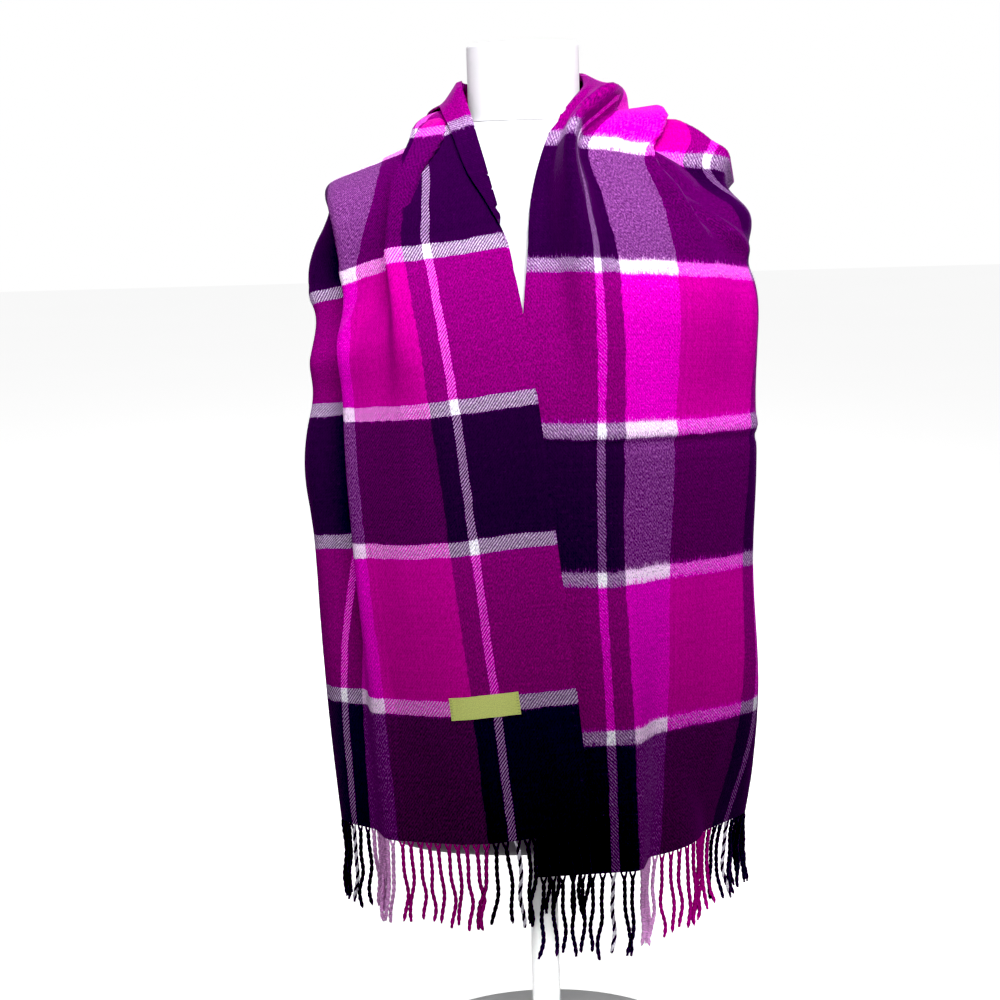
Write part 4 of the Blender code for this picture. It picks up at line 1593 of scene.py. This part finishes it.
@dataclass
class Stand:
    """Pole and round flat base."""

    segments: int = 128
    base_edge: float = 3.0
    foot_edge: float = 0.6
    edge_rings: int = 6
    pole_rings: int = 9

    def turned(self, name: str, node: str, profile: Outline) -> bpy.types.Object:
        """Turn a profile round Z and dress it in enamel.

        Args:
            name: Name of the piece.
            node: The CAD node it stands for.
            profile: Radius and height of each ring, bottom to top, in millimetres.

        Returns:
            The new object.
        """
        turn = turns(self.segments)
        rings = [np.stack([r * np.cos(turn), r * np.sin(turn), np.full(len(turn), z)], 1) for r, z in profile]
        mesh = mesh_of(name, *close_rings(np.array(rings)), sharp=40)
        return link_piece(mesh, [EnamelFinish().material()], (node,))

    def build(self) -> list[bpy.types.Object]:
        """Make and dress the base and the pole.

        Returns:
            The base and the pole.
        """
        low, high = (corner / MM for corner in np.array(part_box("stand_base")))
        edge, foot = self.base_edge, self.foot_edge
        bend = np.linspace(0.0, math.pi / 2, self.edge_rings)
        radii = high[0] - np.concatenate([foot * (1 - np.sin(bend)), edge * (1 - np.cos(bend))])
        heights = np.concatenate([low[2] + foot * (1 - np.cos(bend)), high[2] - edge * (1 - np.sin(bend))])
        base = self.turned("stand_base_disc", "stand_base", list(zip(radii, heights)))
        low, high = (corner / MM for corner in np.array(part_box("stand_pole")))
        profile = [(high[0], z) for z in np.linspace(low[2], high[2], self.pole_rings)]
        return [base, self.turned("stand_pole_tube", "stand_pole", profile)]


# ---------------------------------------------------------------- studio
class Softbox(NamedTuple):
    """A rectangular light: where it hangs, the point it faces, width and height, watts and beam angle."""

    name: str
    place: tuple[float, float, float]
    aim: tuple[float, float, float]
    size: tuple[float, float]
    power: float
    beam: float = 180.0


SOFTBOXES = (
    Softbox("key", (0.20, -1.70, 1.95), (0.0, 0.0, 1.15), (2.2, 0.6), 19.0, 50.0),
    Softbox("front", (0.7, -2.4, 1.3), (0.0, 0.0, 0.85), (1.4, 1.0), 5.0),
    Softbox("top", (0.0, 0.5, 2.3), (0.0, 0.0, 0.6), (1.4, 1.2), 5.0),
    Softbox("back", (-1.0, 2.0, 1.7), (0.0, 0.0, 0.7), (1.6, 1.2), 14.0),
    Softbox("left", (-1.9, -0.5, 1.3), (0.0, 0.0, 0.8), (0.8, 1.2), 3.5),
    Softbox("right", (1.9, -0.5, 1.3), (0.0, 0.0, 0.8), (0.8, 1.2), 3.5),
    Softbox("stand", (0.0, -1.6, 0.10), (0.0, 0.0, 0.02), (0.5, 0.1), 0.8, 12.0),
)


@dataclass
class Studio:
    """Pale floor, white surround, soft lights and the camera."""

    floor_size: float = 30.0
    ambient: float = 0.10
    camera_place: tuple[float, float, float] = (-0.033, -2.10, 0.8952)
    camera_dip: float = 8.8
    camera_roll: float = 1.6
    lens: float = 78.6
    sensor: float = 36.0
    black_level: float = 0.02

    def put(self, name: str, data: bpy.types.ID) -> bpy.types.Object:
        """Place new object data in the scene.

        Args:
            name: Name of the object.
            data: Its mesh, light or camera.

        Returns:
            The new object.
        """
        item = bpy.data.objects.new(name, data)
        bpy.context.scene.collection.objects.link(item)
        return item

    def build_floor(self) -> None:
        """Lay the floor."""
        half = self.floor_size / 2
        corners = [(-half, -half, 0), (half, -half, 0), (half, half, 0), (-half, half, 0)]
        mesh = bpy.data.meshes.new("floor")
        mesh.from_pydata(corners, [], [(0, 1, 2, 3)])
        mesh.materials.append(FloorFinish().material())
        floor = self.put("floor", mesh)
        floor.visible_diffuse = False

    def hang(self, box: Softbox) -> None:
        """Hang one softbox.

        Args:
            box: The softbox.
        """
        light = bpy.data.lights.new(box.name, "AREA")
        light.spread = math.radians(box.beam)
        light.shape = "RECTANGLE"
        light.size, light.size_y = box.size
        light.energy = box.power
        item = self.put(box.name, light)
        item.location = box.place
        item.rotation_euler = (Vector(box.aim) - Vector(box.place)).to_track_quat("-Z", "Y").to_euler()

    def build_sky(self) -> None:
        """White surround: bright to look at, dimmer as light."""
        world = bpy.data.worlds.new("surround")
        world.use_nodes = True
        nodes, links = world.node_tree.nodes, world.node_tree.links
        lit, seen = nodes["Background"], nodes.new("ShaderNodeBackground")
        for background, strength in ((lit, self.ambient), (seen, 1.0)):
            background.inputs[0].default_value = (1.0, 1.0, 1.0, 1.0)
            background.inputs[1].default_value = strength
        path, mix = nodes.new("ShaderNodeLightPath"), nodes.new("ShaderNodeMixShader")
        links.new(path.outputs["Is Camera Ray"], mix.inputs[0])
        links.new(lit.outputs[0], mix.inputs[1])
        links.new(seen.outputs[0], mix.inputs[2])
        links.new(mix.outputs[0], nodes["World Output"].inputs[0])
        bpy.context.scene.world = world

    def build_camera(self) -> None:
        """Set up the camera."""
        data = bpy.data.cameras.new("camera")
        data.lens, data.sensor_width = self.lens, self.sensor
        camera = self.put("camera", data)
        camera.rotation_mode = "ZYX"
        camera.location = self.camera_place
        camera.rotation_euler = (math.radians(90 - self.camera_dip), 0.0, -math.radians(self.camera_roll))
        bpy.context.scene.camera = camera

    def build(self) -> None:
        """Make the floor, the surround, the camera and the lights, and set how the picture is shown."""
        self.build_floor()
        self.build_sky()
        self.build_camera()
        for box in SOFTBOXES:
            self.hang(box)
        view = bpy.context.scene.view_settings
        view.view_transform = "Standard"
        view.use_curve_mapping = True
        view.curve_mapping.black_level = (self.black_level,) * 3


def main() -> None:
    """Build every piece in order."""
    Studio().build()
    form_shape = FormShape()
    drape = Drape(form_shape)
    form = DressForm(form_shape).build()
    Stand().build()
    cloth = ScarfCloth(drape).build()
    left = Fringe(drape, "fringe_left_strands", "fringe_left", 0.0, 1.0, seed=11).build()
    right = Fringe(drape, "fringe_right_strands", "fringe_right", drape.length, -1.0, seed=23).build()
    label = Label(drape).build()


if __name__ == "__main__":
    main()
